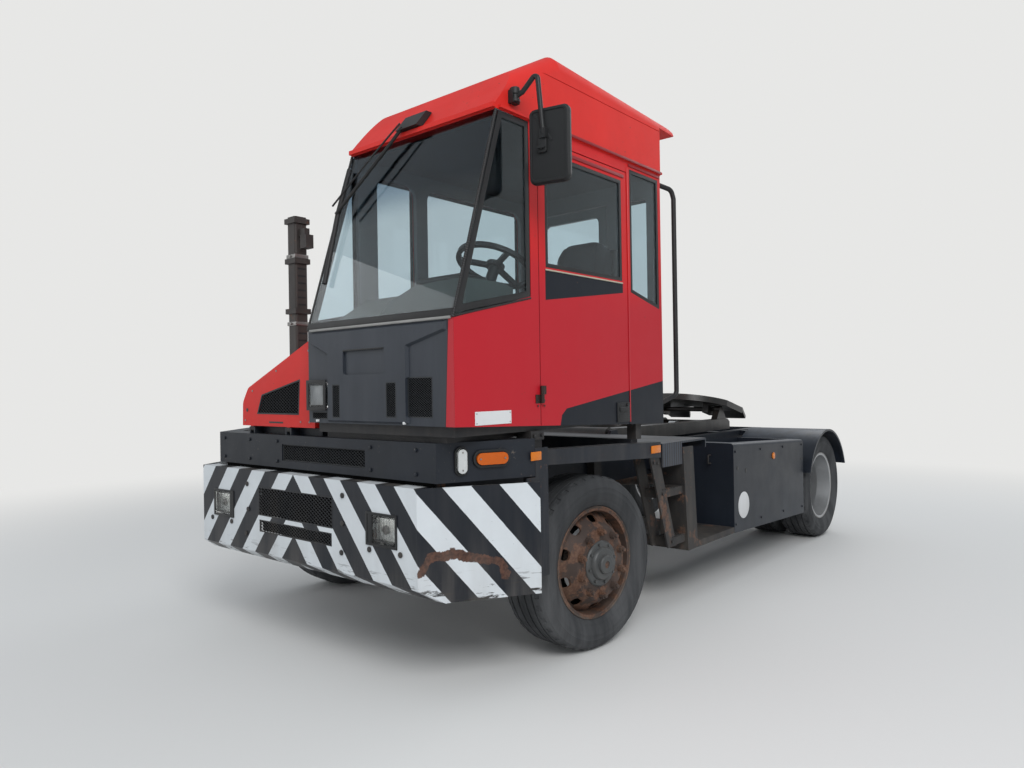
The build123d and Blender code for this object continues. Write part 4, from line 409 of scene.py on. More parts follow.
# Paints of the chassis
BARE_CHIP = (0.10, 0.085, 0.075)
navy = worn("navy_chassis", NAVY, 0.72, (0.34, 0.58), dust=0.24, dust_colour=(0.12, 0.115, 0.11),
            dust_height=1.1, chips=0.5, lumps=0.5, chip_colour=BARE_CHIP, shine=0.3)
navy_rusty = worn("navy_rusting", NAVY, 0.7, (0.4, 0.65), dust=0.35, dust_height=1.3, chips=0.5, lumps=1.0,
                  pattern=rusting(0.08, 5.0), shine=0.3)
navy_box = worn("navy_box", NAVY, 0.8, (0.30, 0.50), dust=0.14, dust_height=0.9, chips=0.2, lumps=0.4,
                dust_colour=(0.055, 0.072, 0.098), chip_colour=BARE_CHIP, shine=0.3)
tread_plate = worn("tread_plate", NAVY, 0.72, (0.3, 0.5), dust=0.3, dust_height=1.3, chips=0.4, lumps=0.4,
                   pattern=tread_pattern, shine=0.3)
step_paint = worn("worn_steps", (0.024, 0.023, 0.024), 0.6, (0.5, 0.75), dust=0.55, dust_height=1.4,
                  chips=0.7, lumps=1.4, pattern=rusting(0.12, 7.0), dust_colour=(0.10, 0.085, 0.07))
striped = worn("striped_paint", STRIPE_WHITE, 0.93, (0.35, 0.55), dust=0.30, dust_height=0.85, chips=0.25,
               chip_colour=(0.03, 0.03, 0.032), top_dust=0.35, pattern=chevrons,
               dust_colour=(0.28, 0.25, 0.22), shine=0.35)
fender_black = worn("fender_paint", NAVY, 0.75, (0.26, 0.48), dust=0.12, dust_height=1.2, top_dust=0.3,
                    dust_colour=(0.09, 0.115, 0.16), shine=0.3)

# Bare, rusty and greasy metal
black_steel = worn("black_steel", (0.022, 0.022, 0.024), 0.7, (0.4, 0.62), dust=0.35, dust_height=1.5,
                   chips=0.4, lumps=0.6, shine=0.3)
mesh_black = worn("mesh_black", (0.030, 0.033, 0.037), 0.8, (0.40, 0.60), dust=0.25, dust_height=1.2,
                  shine=0.3)
greasy = worn("greasy_steel", (0.016, 0.015, 0.014), 0.6, (0.22, 0.5), dust=0.25, dust_height=1.5, chips=0.5,
              lumps=2.0, bump=0.12)
pipe_brown = worn("heat_stained_guard", (0.052, 0.046, 0.044), 0.6, (0.45, 0.7), metal=0.3, dust=0.3,
                  dust_height=3.0, chips=0.4, lumps=1.0, pattern=rusting(0.12, 4.0))
rusty = worn("rusty_steel", (0.058, 0.042, 0.034), 0.6, (0.6, 0.85), dust=0.55, dust_height=0.9, chips=0.6,
             lumps=2.5, bump=0.2, pattern=rusting(0.45, 9.0))
wheel_rust = worn("rusty_wheel", (0.066, 0.042, 0.034), 0.6, (0.6, 0.85), dust=0.25, lumps=3.0, bump=0.25,
                  pattern=rusting(0.5, 12.0), dust_colour=(0.17, 0.12, 0.09))
wheel_silver = worn("silver_wheel", (0.50, 0.51, 0.52), 0.86, (0.28, 0.5), metal=0.75, dust=0.25,
                    dust_height=0.7, chips=0.3, lumps=0.8, dust_colour=(0.22, 0.20, 0.18))
hub_grey = worn("grey_hub", (0.085, 0.090, 0.092), 0.7, (0.35, 0.6), metal=0.3, dust=0.3, dust_height=0.8,
                chips=0.5, lumps=1.5)
lip_grey = worn("rubbed_lip", (0.30, 0.30, 0.29), 0.7, (0.4, 0.6), dust=0.3, dust_height=1.2, chips=0.4)
rod_chrome = worn("polished_rod", (0.62, 0.62, 0.62), 0.95, (0.08, 0.22), metal=1.0, dust=0.1)
bare_steel = worn("bare_steel", (0.30, 0.29, 0.28), 0.7, (0.3, 0.55), metal=0.8, dust=0.2, chips=0.6,
                  lumps=1.0)
engine_grey = worn("engine_iron", (0.05, 0.048, 0.045), 0.6, (0.5, 0.8), dust=0.3, dust_height=1.4, chips=0.6,
                   lumps=2.0, bump=0.2)

# Rubber, plastic and cloth
RUBBER_DUST = (0.06, 0.06, 0.06)
tyre_rubber = worn("tyre_rubber", (0.036, 0.038, 0.041), 0.82, (0.62, 0.85), dust=0.62, dust_height=1.15,
                   dust_colour=(0.120, 0.122, 0.126), grain=260.0, bump=0.14, lumps=0.8, top_dust=0.15,
                   shine=0.3)
# Black for painted shade: the sheets behind the screens, the drum behind the front rims' holes and the gap
# under the beam
shade_black = worn("shade_black", (0.003, 0.003, 0.003), 0.9, (0.8, 0.95), dust=0.0, top_dust=0.0, shine=0.1)
seal_rubber = worn("seal_rubber", (0.010, 0.010, 0.011), 0.8, (0.4, 0.6), dust=0.2, dust_height=3.2,
                   dust_colour=RUBBER_DUST)
black_plastic = worn("black_plastic", (0.016, 0.017, 0.018), 0.85, (0.38, 0.52), dust=0.15, dust_height=3.0,
                     dust_colour=RUBBER_DUST, grain=900.0, bump=0.12, shine=0.3)
dash_trim = worn("dash_trim", (0.075, 0.095, 0.088), 0.85, (0.45, 0.65), dust=0.3, dust_height=2.4,
                 grain=900.0, dust_colour=(0.16, 0.17, 0.16), bump=0.15, top_dust=0.4)
lining = worn("dark_lining", (0.030, 0.036, 0.045), 0.9, (0.6, 0.8), dust=0.0, grain=900.0, bump=0.15)
seat_cloth = worn("seat_cloth", (0.030, 0.032, 0.036), 0.7, (0.75, 0.92), dust=0.2, dust_height=2.6,
                  grain=1400.0, bump=0.35, dust_colour=(0.09, 0.09, 0.085), shine=0.25)
white_sign = worn("white_plate", (0.70, 0.71, 0.72), 0.95, (0.3, 0.45), dust=0.15, dust_height=1.6)
cream = worn("cream_edge", (0.50, 0.46, 0.36), 0.85, (0.5, 0.7), dust=0.2, dust_height=3.0)

# Lamps and glass
amber = worn("amber_lens", (0.56, 0.105, 0.004), 0.85, (0.14, 0.3), coat=0.1, dust=0.06, dust_height=1.4,
             shine=0.3)
orange_red = worn("orange_lens", (0.70, 0.19, 0.012), 0.85, (0.14, 0.3), coat=0.1, dust=0.06, dust_height=1.4,
                  shine=0.3)
red_lens = worn("red_lens", (0.42, 0.012, 0.010), 0.85, (0.14, 0.3), coat=0.6, dust=0.2, dust_height=1.4)
marker_white = worn("marker_lens", (0.58, 0.60, 0.60), 0.9, (0.2, 0.35), coat=0.4, dust=0.25, dust_height=1.4)
frosted = worn("frosted_lens", (0.33, 0.35, 0.37), 0.85, (0.18, 0.3), coat=0.5, dust=0.2, dust_height=1.8)
reflector = worn("lamp_bowl", (0.72, 0.72, 0.70), 0.9, (0.08, 0.2), metal=1.0, dust=0.1, dust_height=1.2)
mirror_glass = worn("mirror_glass", (0.80, 0.82, 0.84), 0.98, (0.02, 0.05), metal=1.0, dust=0.0, bump=0.0)
windshield_glass = see_through("windshield_glass", (0.70, 0.78, 0.82), pattern=top_tint)
side_glass = see_through("side_glass", (0.66, 0.76, 0.80))
lamp_glass = see_through("lamp_glass", (0.86, 0.88, 0.88), 0.05)

NODE_FINISH = ((navy, "frame front_beam"), (navy_rusty, "arch_beams"), (navy_box, "box_left tank_right"),
               (striped, "bumper"), (tread_plate, "deck"), (step_paint, "steps_left"),
               (fender_black, "rear_fenders"), (mesh_black, "front_grilles hood_grille"),
               (engine_grey, "engine_block"), (pipe_brown, "exhaust_stack"),
               (rusty, "front_axle rear_axle knuckle_left knuckle_right tie_rod"),
               (black_steel, "cab_floor wiper handrail"), (greasy, "lift_boom fifth_wheel cylinder_barrels"),
               (rod_chrome, "cylinder_rods"), (panel_grey, "cab_front_panel"), (red_wall, "cab_wall_left"),
               (red_right, "cab_wall_right"), (red_rear, "cab_wall_rear door_rear"), (red_roof, "cab_roof"),
               (red_door, "door_left"), (red_hood, "hood"), (windshield_glass, "windshield"),
               (side_glass, "cab_glass door_left_glass door_rear_glass"), (lamp_glass, "clear_lamps"),
               (amber, "amber_lamps"), (red_lens, "rear_lamps"), (dash_trim, "dashboard"),
               (black_plastic, "steering_wheel seat_base seat_cushion seat_backrest mirror"),
               (tyre_rubber, "tyre_front_left tyre_front_right tyres_rear_left tyres_rear_right"),
               (wheel_rust, "wheel_front_left wheel_front_right"),
               (wheel_silver, "wheels_rear_left wheels_rear_right"))
for surface, names in NODE_FINISH:
    for name in names.split():
        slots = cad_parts[name].data.materials
        slots.clear()
        slots.append(surface)


# Shaping tools
SHARP_DEGREES = 35
SAME_POINT = 0.00005


def clear_selection():
    """Object mode with nothing picked."""
    if bpy.context.mode != "OBJECT":
        bpy.ops.object.mode_set(mode="OBJECT")
    bpy.ops.object.select_all(action="DESELECT")


def pick(piece):
    """Only this piece picked and active."""
    clear_selection()
    piece.select_set(True)
    bpy.context.view_layer.objects.active = piece


def settle(name):
    """Names the piece just made and writes its place into its mesh."""
    piece = bpy.context.object
    piece.name = piece.data.name = name
    bpy.ops.object.transform_apply(location=True, rotation=True, scale=True)
    return piece


def finish_piece(piece, surface, body="chassis", smooth=30):
    """Gives a piece its surface, its body and its shading."""
    pick(piece)
    if smooth:
        bpy.ops.object.shade_smooth_by_angle(angle=radians(smooth))
    piece.data.materials.clear()
    piece.data.materials.append(surface)
    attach(piece, body)
    return piece


def apply_modifier(piece, kind, **settings):
    """Adds a modifier and applies it."""
    pick(piece)
    bpy.ops.object.modifier_add(type=kind)
    modifier = piece.modifiers[-1]
    for key, value in settings.items():
        setattr(modifier, key, value)
    bpy.ops.object.modifier_apply(modifier=modifier.name)


def soften(piece, width, segments=2):
    """Rounds the sharp edges."""
    if width:
        apply_modifier(piece, "BEVEL", width=width, segments=segments, limit_method="ANGLE",
                       angle_limit=radians(SHARP_DEGREES))


def choose(piece, test):
    """Edit mode with only the faces picked that pass the test."""
    pick(piece)
    bpy.ops.object.mode_set(mode="EDIT")
    bpy.ops.mesh.select_mode(type="FACE")
    bpy.ops.mesh.select_all(action="DESELECT")
    shape = bmesh.from_edit_mesh(piece.data)
    for face in shape.faces:
        if test(face):
            face.select_set(True)
    bmesh.update_edit_mesh(piece.data)


def mend(piece):
    """Merges doubles and turns the faces outwards."""
    pick(piece)
    bpy.ops.object.mode_set(mode="EDIT")
    bpy.ops.mesh.select_all(action="SELECT")
    bpy.ops.mesh.remove_doubles(threshold=SAME_POINT)
    bpy.ops.mesh.normals_make_consistent(inside=False)
    bpy.ops.object.mode_set(mode="OBJECT")


def block(name, low, high, edge=0.003, segments=2):
    """A block between two corners with its edges rounded."""
    low, high = at(*low), at(*high)
    clear_selection()
    bpy.ops.mesh.primitive_cube_add(size=1, location=(low + high) / 2, scale=[abs(v) for v in high - low])
    piece = settle(name)
    soften(piece, edge, segments)
    return piece


def disc(name, centre, normal, radius, depth, sides=24, edge=0.002):
    """A round piece whose back rests on a point and which stands out along a direction."""
    normal = Vector(normal).normalized()
    clear_selection()
    bpy.ops.mesh.primitive_cylinder_add(vertices=sides, radius=radius, depth=depth,
                                        location=at(*centre) + normal * depth / 2,
                                        rotation=normal.to_track_quat("Z", "Y").to_euler())
    piece = settle(name)
    soften(piece, edge)
    return piece


def plate(name, corners, depth, edge=0.001, window=0.0):
    """A flat plate on an outline, or a frame of some width. Its depth is given as a direction."""
    clear_selection()
    bpy.ops.mesh.primitive_circle_add(vertices=len(corners), radius=1, fill_type="NGON")
    piece = settle(name)
    for vertex, corner in zip(piece.data.vertices, corners):
        vertex.co = at(*corner)
    bpy.ops.object.mode_set(mode="EDIT")
    bpy.ops.mesh.select_mode(type="FACE")
    bpy.ops.mesh.select_all(action="SELECT")
    if window:
        bpy.ops.mesh.inset(thickness=window, depth=0)
        bpy.ops.mesh.delete(type="FACE")
        bpy.ops.mesh.select_all(action="SELECT")
    bpy.ops.mesh.extrude_region_move(TRANSFORM_OT_translate={"value": depth})
    bpy.ops.object.mode_set(mode="OBJECT")
    mend(piece)
    soften(piece, edge)
    return piece


def tube(name, points, radius):
    """A bent round bar through points."""
    curve = bpy.data.curves.new(name, "CURVE")
    curve.dimensions = "3D"
    spline = curve.splines.new("NURBS")
    spline.points.add(len(points) - 1)
    for knot, point in zip(spline.points, points):
        knot.co = (*at(*point), 1)
    spline.use_endpoint_u = True
    spline.order_u = min(3, len(points))
    curve.resolution_u = 8
    curve.bevel_depth = radius
    curve.bevel_resolution = 3
    curve.use_fill_caps = True
    clear_selection()
    piece = bpy.data.objects.new(name, curve)
    bpy.context.collection.objects.link(piece)
    pick(piece)
    bpy.ops.object.convert(target="MESH")
    piece = bpy.context.object
    mend(piece)
    return piece


def turned(name, outline, centre, axis, steps=48):
    """A round piece, spun from an outline of (radius, distance along the axis)."""
    axis = Vector(axis).normalized()
    side = axis.orthogonal().normalized()
    origin = at(*centre)
    clear_selection()
    bpy.ops.mesh.primitive_plane_add(size=0.01)
    piece = settle(name)
    bpy.ops.object.mode_set(mode="EDIT")
    bpy.ops.mesh.select_mode(type="VERT")
    bpy.ops.mesh.select_all(action="SELECT")
    bpy.ops.mesh.merge(type="CENTER")
    places = [origin + side * radius + axis * along for radius, along in outline]
    bpy.ops.transform.translate(value=places[0])
    for before, after in zip(places, places[1:]):
        bpy.ops.mesh.extrude_region_move(TRANSFORM_OT_translate={"value": after - before})
    bpy.ops.mesh.select_all(action="SELECT")
    bpy.ops.mesh.spin(steps=steps, angle=2 * pi, center=origin, axis=axis)
    bpy.ops.object.mode_set(mode="OBJECT")
    mend(piece)
    return piece


def together(name, parts):
    """Several pieces joined into one."""
    clear_selection()
    for part in parts:
        part.select_set(True)
    bpy.context.view_layer.objects.active = parts[0]
    if len(parts) > 1:
        bpy.ops.object.join()
    whole = bpy.context.object
    whole.name = whole.data.name = name
    return whole


def joined(name, parts, surface, body="chassis", smooth=30):
    """Several pieces joined and finished as one."""
    return finish_piece(together(name, parts), surface, body, smooth)


def steered(piece, side):
    """Turns a piece of a front wheel to the parked steering angle."""
    pin = at(side * KINGPIN_X, 0, 0)
    turn = Matrix.Rotation(radians(STEER_DEGREES), 4, "Z")
    piece.data.transform(Matrix.Translation(pin) @ turn @ Matrix.Translation(-pin))


SIDES = ((1, "left"), (-1, "right"))
LEFTWARD = (1, 0, 0)
FORWARD = (0, -1, 0)
UPWARD = (0, 0, 1)

# Tyres: spun with their grooves, then every other shoulder block is pushed in
BEAD_HALF = 0.1045
GROOVES = (-0.078, -0.027, 0.027, 0.078)
BLOCKS = 80
SHOULDER_R = 0.447
SHOULDER_X = 0.098


def tyre_outline():
    """Half of the wall mirrored, with the grooved tread between."""
    wall = [(0.2875, 0.070), (0.2863, BEAD_HALF), (0.2995, 0.1065), (0.3015, 0.117), (0.309, 0.1245),
            (0.322, 0.130), (0.326, 0.1325), (0.330, 0.1325), (0.334, 0.1350), (0.352, 0.1415),
            (0.372, 0.1455), (0.376, 0.1470), (0.380, 0.1456), (0.398, 0.1448), (0.402, 0.1462),
            (0.406, 0.1440), (0.424, 0.1395), (0.436, 0.1340), (0.4405, 0.1335), (0.4425, 0.1310),
            (0.452, 0.1210), (0.4595, 0.1090), (0.4625, 0.0960)]
    tread = []
    for groove in reversed(GROOVES):
        tread += [(0.4628, groove + 0.0055), (0.4510, groove + 0.0035), (0.4510, groove - 0.0035),
                  (0.4628, groove - 0.0055)]
    return wall + tread + [(r, -x) for r, x in reversed(wall)]


def tyre(name, centre_x, centre_y, side):
    """One tyre with its shoulder blocks."""
    piece = turned(name, tyre_outline(), (centre_x, centre_y, TYRE_R), (side, 0, 0), BLOCKS)
    middle = at(centre_x, centre_y, TYRE_R)

    def shoulder(face):
        spot = face.calc_center_median() - middle
        block_number = int((atan2(spot.z, spot.y) + pi) / (2 * pi) * BLOCKS)
        return hypot(spot.y, spot.z) > SHOULDER_R and abs(spot.x) > SHOULDER_X and block_number % 2 == 0

    choose(piece, shoulder)
    bpy.ops.mesh.inset(thickness=0.0035, depth=-0.006)
    bpy.ops.object.mode_set(mode="OBJECT")
    return piece


FRONT_WHEEL_X = 1.065
REAR_OUTER_X = 1.057
TWIN = 0.330
for side, hand in SIDES:
    rubber = tyre("front_tyre_" + hand, side * FRONT_WHEEL_X, 0, side)
    steered(rubber, side)
    finish_piece(rubber, tyre_rubber, "wheel_front_" + hand, 40)
    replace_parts(rubber, "tyre_front_" + hand)
    pair = [tyre("tyre", side * x, REAR_AXLE, side) for x in (REAR_OUTER_X, REAR_OUTER_X - TWIN)]
    twins = joined("rear_tyres_" + hand, pair, tyre_rubber, "wheels_rear_" + hand, 40)
    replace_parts(twins, "tyres_rear_" + hand)

# Wheels: studs, the hub's cover with its bolts, the rim's edge, and behind the front rim's holes a black ring
# of painted shade for the drum
STUD_RING = 0.168
BOLT_RING = 0.103
STUD_OUTLINE = [(0, 0.042), (0.009, 0.041), (0.011, 0.038), (0.011, 0.025), (0.0185, 0.0255), (0.0185, 0.022),
                (0.021, 0.006), (0.021, -0.002)]
FLANGE_OUTLINE = [(0.078, 0.030), (0.083, 0.026), (0.088, 0.012), (0.114, 0.010), (0.121, 0.004),
                  (0.122, -0.003)]
RIM_OUTLINE = [(0.2985, BEAD_HALF), (0.2988, 0.1175), (0.2950, 0.1190), (0.2905, 0.1175), (0.2900, 0.1120),
               (0.2925, BEAD_HALF)]
DRUM_OUTLINE = [(0.258, -0.104), (0.258, -0.100), (0.190, -0.100), (0.190, -0.104)]
# Face of the disc, middle of the rim, place along the frame, then how far the cap stands out and its radius
WHEELS = {"front": (FRONT_WHEEL_X + 0.150, FRONT_WHEEL_X, 0, 0.048, 0.050),
          "rear": (REAR_OUTER_X - TWIN / 2 + 0.014, REAR_OUTER_X, REAR_AXLE, 0.152, 0.061)}


def ring_of(piece, name, centre, count, start=0.0):
    """Copies of a piece round a hub, joined."""
    twins = [piece] + [piece.copy() for _ in range(count - 1)]
    middle = at(*centre)
    for number, twin in enumerate(twins):
        if number:
            twin.data = piece.data.copy()
            bpy.context.collection.objects.link(twin)
    for number, twin in enumerate(twins):
        turn = Matrix.Rotation(start + 2 * pi * number / count, 4, "X")
        twin.data.transform(Matrix.Translation(middle) @ turn @ Matrix.Translation(-middle))
    return together(name, twins)


for side, hand in SIDES:
    for end, (face_x, rim_x, y, cap, cap_r) in WHEELS.items():
        front = end == "front"
        face, hub, out = (side * face_x, y, TYRE_R), (0, y, TYRE_R), (side, 0, 0)
        stud = turned("stud", STUD_OUTLINE, (side * face_x, y, TYRE_R + STUD_RING), out, 10)
        studs = ring_of(stud, f"wheel_studs_{end}_{hand}", hub, 10)
        bolt = disc("bolt", (side * (face_x + 0.010), y, TYRE_R + BOLT_RING), out, 0.008, 0.009, 6, 0.001)
        cap_outline = [(0.0, cap - 0.004), (0.018, cap - 0.004), (0.020, cap + 0.001), (cap_r - 0.008, cap),
                       (cap_r - 0.002, cap - 0.005), (cap_r + 0.001, 0.031)]
        collar = turned("collar", cap_outline + FLANGE_OUTLINE, face, out, 48)
        cover = together(f"hub_cover_{end}_{hand}", [collar, ring_of(bolt, "bolts", hub, 8, 0.2)])
        rim_edge = turned(f"rim_edge_{end}_{hand}", RIM_OUTLINE, (side * rim_x, y, TYRE_R), out, 64)
        fittings = [(studs, wheel_rust if front else hub_grey), (cover, hub_grey),
                    (rim_edge, rusty if front else lip_grey)]
        if front:
            # The ring behind the front rim's holes is black, painted shade for the drum seen through them
            fittings.append((turned("shaded_drum_face_" + hand, DRUM_OUTLINE, face, out, 64), shade_black))
        for piece, surface in fittings:
            if front:
                steered(piece, side)
            finish_piece(piece, surface, ("wheel_front_" if front else "wheels_rear_") + hand, 35)


# Seals and borders of the glass

def boxed(a0, a1, z0, z1):
    """Corners of an upright rectangle: from and to sideways or lengthwise, then its heights."""
    return [(a0, z0), (a1, z0), (a1, z1), (a0, z1)]


def rake(z):
    """Y of the windshield's face at a height."""
    return CAB_FRONT + (GLASS_TOP[0] - CAB_FRONT) * (z - SILL) / (GLASS_TOP[1] - SILL)


def beaded(name, start, end, width, pitch=0.011):
    """A rubber strip of small beads along a straight line."""
    start, end = at(*start), at(*end)
    run = end - start
    count = int(run.length / pitch)
    step = run / count
    clear_selection()
    bpy.ops.mesh.primitive_cylinder_add(vertices=8, radius=width / 2, depth=pitch * 0.98,
                                        location=start + step / 2,
                                        rotation=run.to_track_quat("Z", "Y").to_euler())
    piece = settle(name)
    soften(piece, pitch * 0.22, 1)
    apply_modifier(piece, "ARRAY", count=count, use_relative_offset=False, use_constant_offset=True,
                   constant_offset_displace=step)
    return piece


def side_plate(name, corners, x, thick, width=0.0, edge=0.0012):
    """A plate, or a frame of some width, on an outline of (y, z) corners that faces a side."""
    return plate(name, [(x, y, z) for y, z in corners], Vector((thick, 0, 0)), edge, width)


# Both seams between windshield and quarter glass, the quarters' borders and their sills
PANE_IN = 0.0065
for wall, side, hand, rear_y, rear_low in ((CAB_LEFT, 1, "left", -0.568, 1.844),
                                           (CAB_RIGHT, -1, "right", -0.776, 1.796)):
    seam_x, pane_x, bead_x = wall - 0.002 * side, wall - PANE_IN * side, wall - (PANE_IN - 0.005) * side
    finish_piece(beaded("windshield_seam_" + hand, (seam_x, CAB_FRONT - 0.002, SILL - 0.01),
                        (seam_x, GLASS_TOP[0] - 0.004, 2.688), 0.017), seal_rubber)
    outline = [(rake(1.735) + 0.012, 1.735), (rear_y, rear_low), (rear_y, 2.687),
               (GLASS_TOP[0] + 0.014, 2.687)]
    border = side_plate("quarter_border_" + hand, outline, pane_x, 0.005 * side, 0.030, 0.001)
    finish_piece(border, seal_rubber)
    finish_piece(beaded("quarter_sill_bead_" + hand, (bead_x, rake(1.722) + 0.010, 1.722),
                        (bead_x, rear_y + 0.002, rear_low - 0.006), 0.012), seal_rubber)
finish_piece(block("windshield_sill_seal", (CAB_RIGHT + 0.004, CAB_FRONT - 0.004, SILL - 0.004),
                   (CAB_LEFT - 0.004, CAB_FRONT + 0.012, SILL + 0.030), 0.004), seal_rubber)
finish_piece(block("windshield_ledge", (CAB_RIGHT + 0.02, CAB_FRONT - 0.010, SILL - 0.016),
                   (CAB_LEFT - 0.012, CAB_FRONT + 0.004, SILL - 0.003), 0.004), lip_grey)
for name, body, corners in (("door_window_seal", "door_left", boxed(-0.448, 0.263, 2.000, 2.572)),
                            ("rear_side_window_seal", "chassis",
                             [(0.353, 1.945), (0.682, 1.868), (0.682, 2.655), (0.353, 2.655)])):
    finish_piece(side_plate(name, corners, CAB_LEFT - PANE_IN, 0.006, 0.022), seal_rubber, body)
for end, y0, y1 in (("front", -0.655, -0.360), ("rear", -0.270, 0.602)):
    corners = boxed(y0, y1, 1.820, 2.600)
    seal = side_plate("right_window_seal_" + end, corners, CAB_RIGHT + 0.001, -0.006, 0.020)
    finish_piece(seal, seal_rubber)
seal = plate("rear_pane_seal", [(x, CAB_REAR - 0.001, z) for x, z in boxed(0.900, 1.110, 1.900, 2.560)],
             Vector((0, 0.0060, 0)), 0.0012, 0.018)
finish_piece(seal, seal_rubber)


# Screens: sheets of expanded mesh in diamonds, cut to their openings, with a rim and a black sheet of painted
# shade behind

def front_plate(name, corners, y, thick, width=0.0):
    """A plate, or a frame of some width, on an outline of (x, z) corners that faces the front."""
    return plate(name, [(x, y, z) for x, z in corners], Vector((0, -thick, 0)), 0.0008, width)


DIAMOND_SQUEEZE = 0.62


def screen(corners, y, pitch, wire):
    """Expanded mesh cut to a four-sided outline of (x, z) corners."""
    xs, zs = [x for x, z in corners], [z for x, z in corners]
    wide, high = max(xs) - min(xs), max(zs) - min(zs)
    cells = int((wide + high / DIAMOND_SQUEEZE) * 0.7072 / pitch) + 2
    clear_selection()
    bpy.ops.mesh.primitive_grid_add(x_subdivisions=cells, y_subdivisions=cells, size=cells * pitch,
                                    rotation=(0, 0, pi / 4))
    piece = settle("mesh")
    piece.scale = (1, DIAMOND_SQUEEZE, 1)
    settle("mesh")
    piece.rotation_euler = (pi / 2, 0, 0)
    piece.location = at((max(xs) + min(xs)) / 2, y, (max(zs) + min(zs)) / 2)
    settle("mesh")
    middle = at(sum(xs) / 4, y, sum(zs) / 4)
    bpy.ops.object.mode_set(mode="EDIT")
    for (x0, z0), (x1, z1) in zip(corners, corners[1:] + corners[:1]):
        start = at(x0, y, z0)
        away = Vector((z1 - z0, 0, x0 - x1)).normalized()
        if (start - middle).dot(away) < 0:
            away = -away
        bpy.ops.mesh.select_all(action="SELECT")
        bpy.ops.mesh.bisect(plane_co=start, plane_no=away, clear_outer=True, threshold=0.00001)
    bpy.ops.object.mode_set(mode="OBJECT")
    apply_modifier(piece, "WIREFRAME", thickness=wire, use_even_offset=False)
    return piece


BEAM_FACE = NOSE + 0.057
COARSE, FINE = 0.0052, 0.0034
FIT = 0.0005
# Outline, the mesh's Y, its pitch, its wire, and how far behind it the black sheet of painted shade lies
OPENINGS = [(boxed(-0.3395, 0.3395, 0.7185, 0.8755), NOSE + 0.0015, 0.022, COARSE, 0.022),
            (boxed(-0.3315, 0.3315, 0.6285, 0.6935), NOSE + 0.0015, 0.020, COARSE, 0.022),
            (boxed(-0.1895, 0.5295, 1.0255, 1.1145), BEAM_FACE + 0.010, 0.018, COARSE, 0.012)]
# Vents of the cab's front panel: X from and to, Z from and to, and how far they stand out
for x0, x1, z0, z1, out in ((0.347, 0.409, 1.271, 1.437, 0.014), (0.757, 0.829, 1.278, 1.443, 0.014),
                            (0.893, 1.056, 1.280, 1.463, 0.0), (0.158, 0.288, 1.262, 1.300, 0.0)):
    OPENINGS.append((boxed(x0 + FIT, x1 - FIT, z0 + FIT, z1 - FIT), CAB_FRONT - out + 0.0015, 0.012, FINE,
                     0.012))
parts, shade_sheets = [], []
for corners, y, pitch, wire, back in OPENINGS:
    parts += [screen(corners, y, pitch, wire), front_plate("rim", corners, y + 0.002, 0.004, 0.005)]
    # A black sheet behind each opening is painted shade for the hollow inside it
    shade_sheets.append(front_plate("back", corners, y + back, 0.003))
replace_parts(joined("front_screens", parts, mesh_black, "chassis", 0), "front_grilles")
joined("screen_shade_sheets", shade_sheets, shade_black, "chassis", 0)

HOOD_FACE = NOSE + 0.067
HOOD_OPENING = [(-0.4555, 1.2775), (-0.0375, 1.2775), (-0.0225, 1.4700), (-0.4045, 1.3885)]
parts = [screen(HOOD_OPENING, HOOD_FACE + 0.004, 0.020, 0.0042),
         front_plate("rim", HOOD_OPENING, HOOD_FACE + 0.006, 0.007, 0.008)]
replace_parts(joined("hood_screen", parts, mesh_black, "hood", 0), "hood_grille")
# A black sheet behind the hood's screen is painted shade for the space behind it
finish_piece(front_plate("hood_screen_shade_sheet", HOOD_OPENING, HOOD_FACE + 0.020, 0.003), shade_black, "hood", 0)


# Bolt heads on the bumper and the beam, and a black plate of painted shade in the gap between these two

def heads(places, normal, radius, depth, sides, edge):
    """Round or six-sided heads at several places."""
    return [disc("head", place, normal, radius, depth, sides, edge) for place in places]


BUMPER_BOLTS = ((-0.454, 0.884), (0.426, 0.891), (-0.471, 0.602), (0.413, 0.609), (0.850, 0.656),
                (0.629, 0.653), (-0.446, 0.741), (0.422, 0.754), (-0.850, 0.656), (-0.629, 0.653))
bolts = heads([(x, NOSE, z) for x, z in BUMPER_BOLTS], FORWARD, 0.014, 0.007, 16, 0.003)
joined("bumper_bolts", bolts, black_steel)
places = [(x, BEAM_FACE, z) for x in (-0.800, -0.520, -0.235, 0.575, 0.900) for z in (1.020, 1.130)]
joined("beam_bolts", heads(places, FORWARD, 0.010, 0.007, 6, 0.0015), navy)
# A black plate in the gap between bumper and beam is painted shade
finish_piece(block("beam_shade", (-0.820, -1.036, 0.948), (0.985, -1.026, 0.990), 0.001, 1), shade_black)

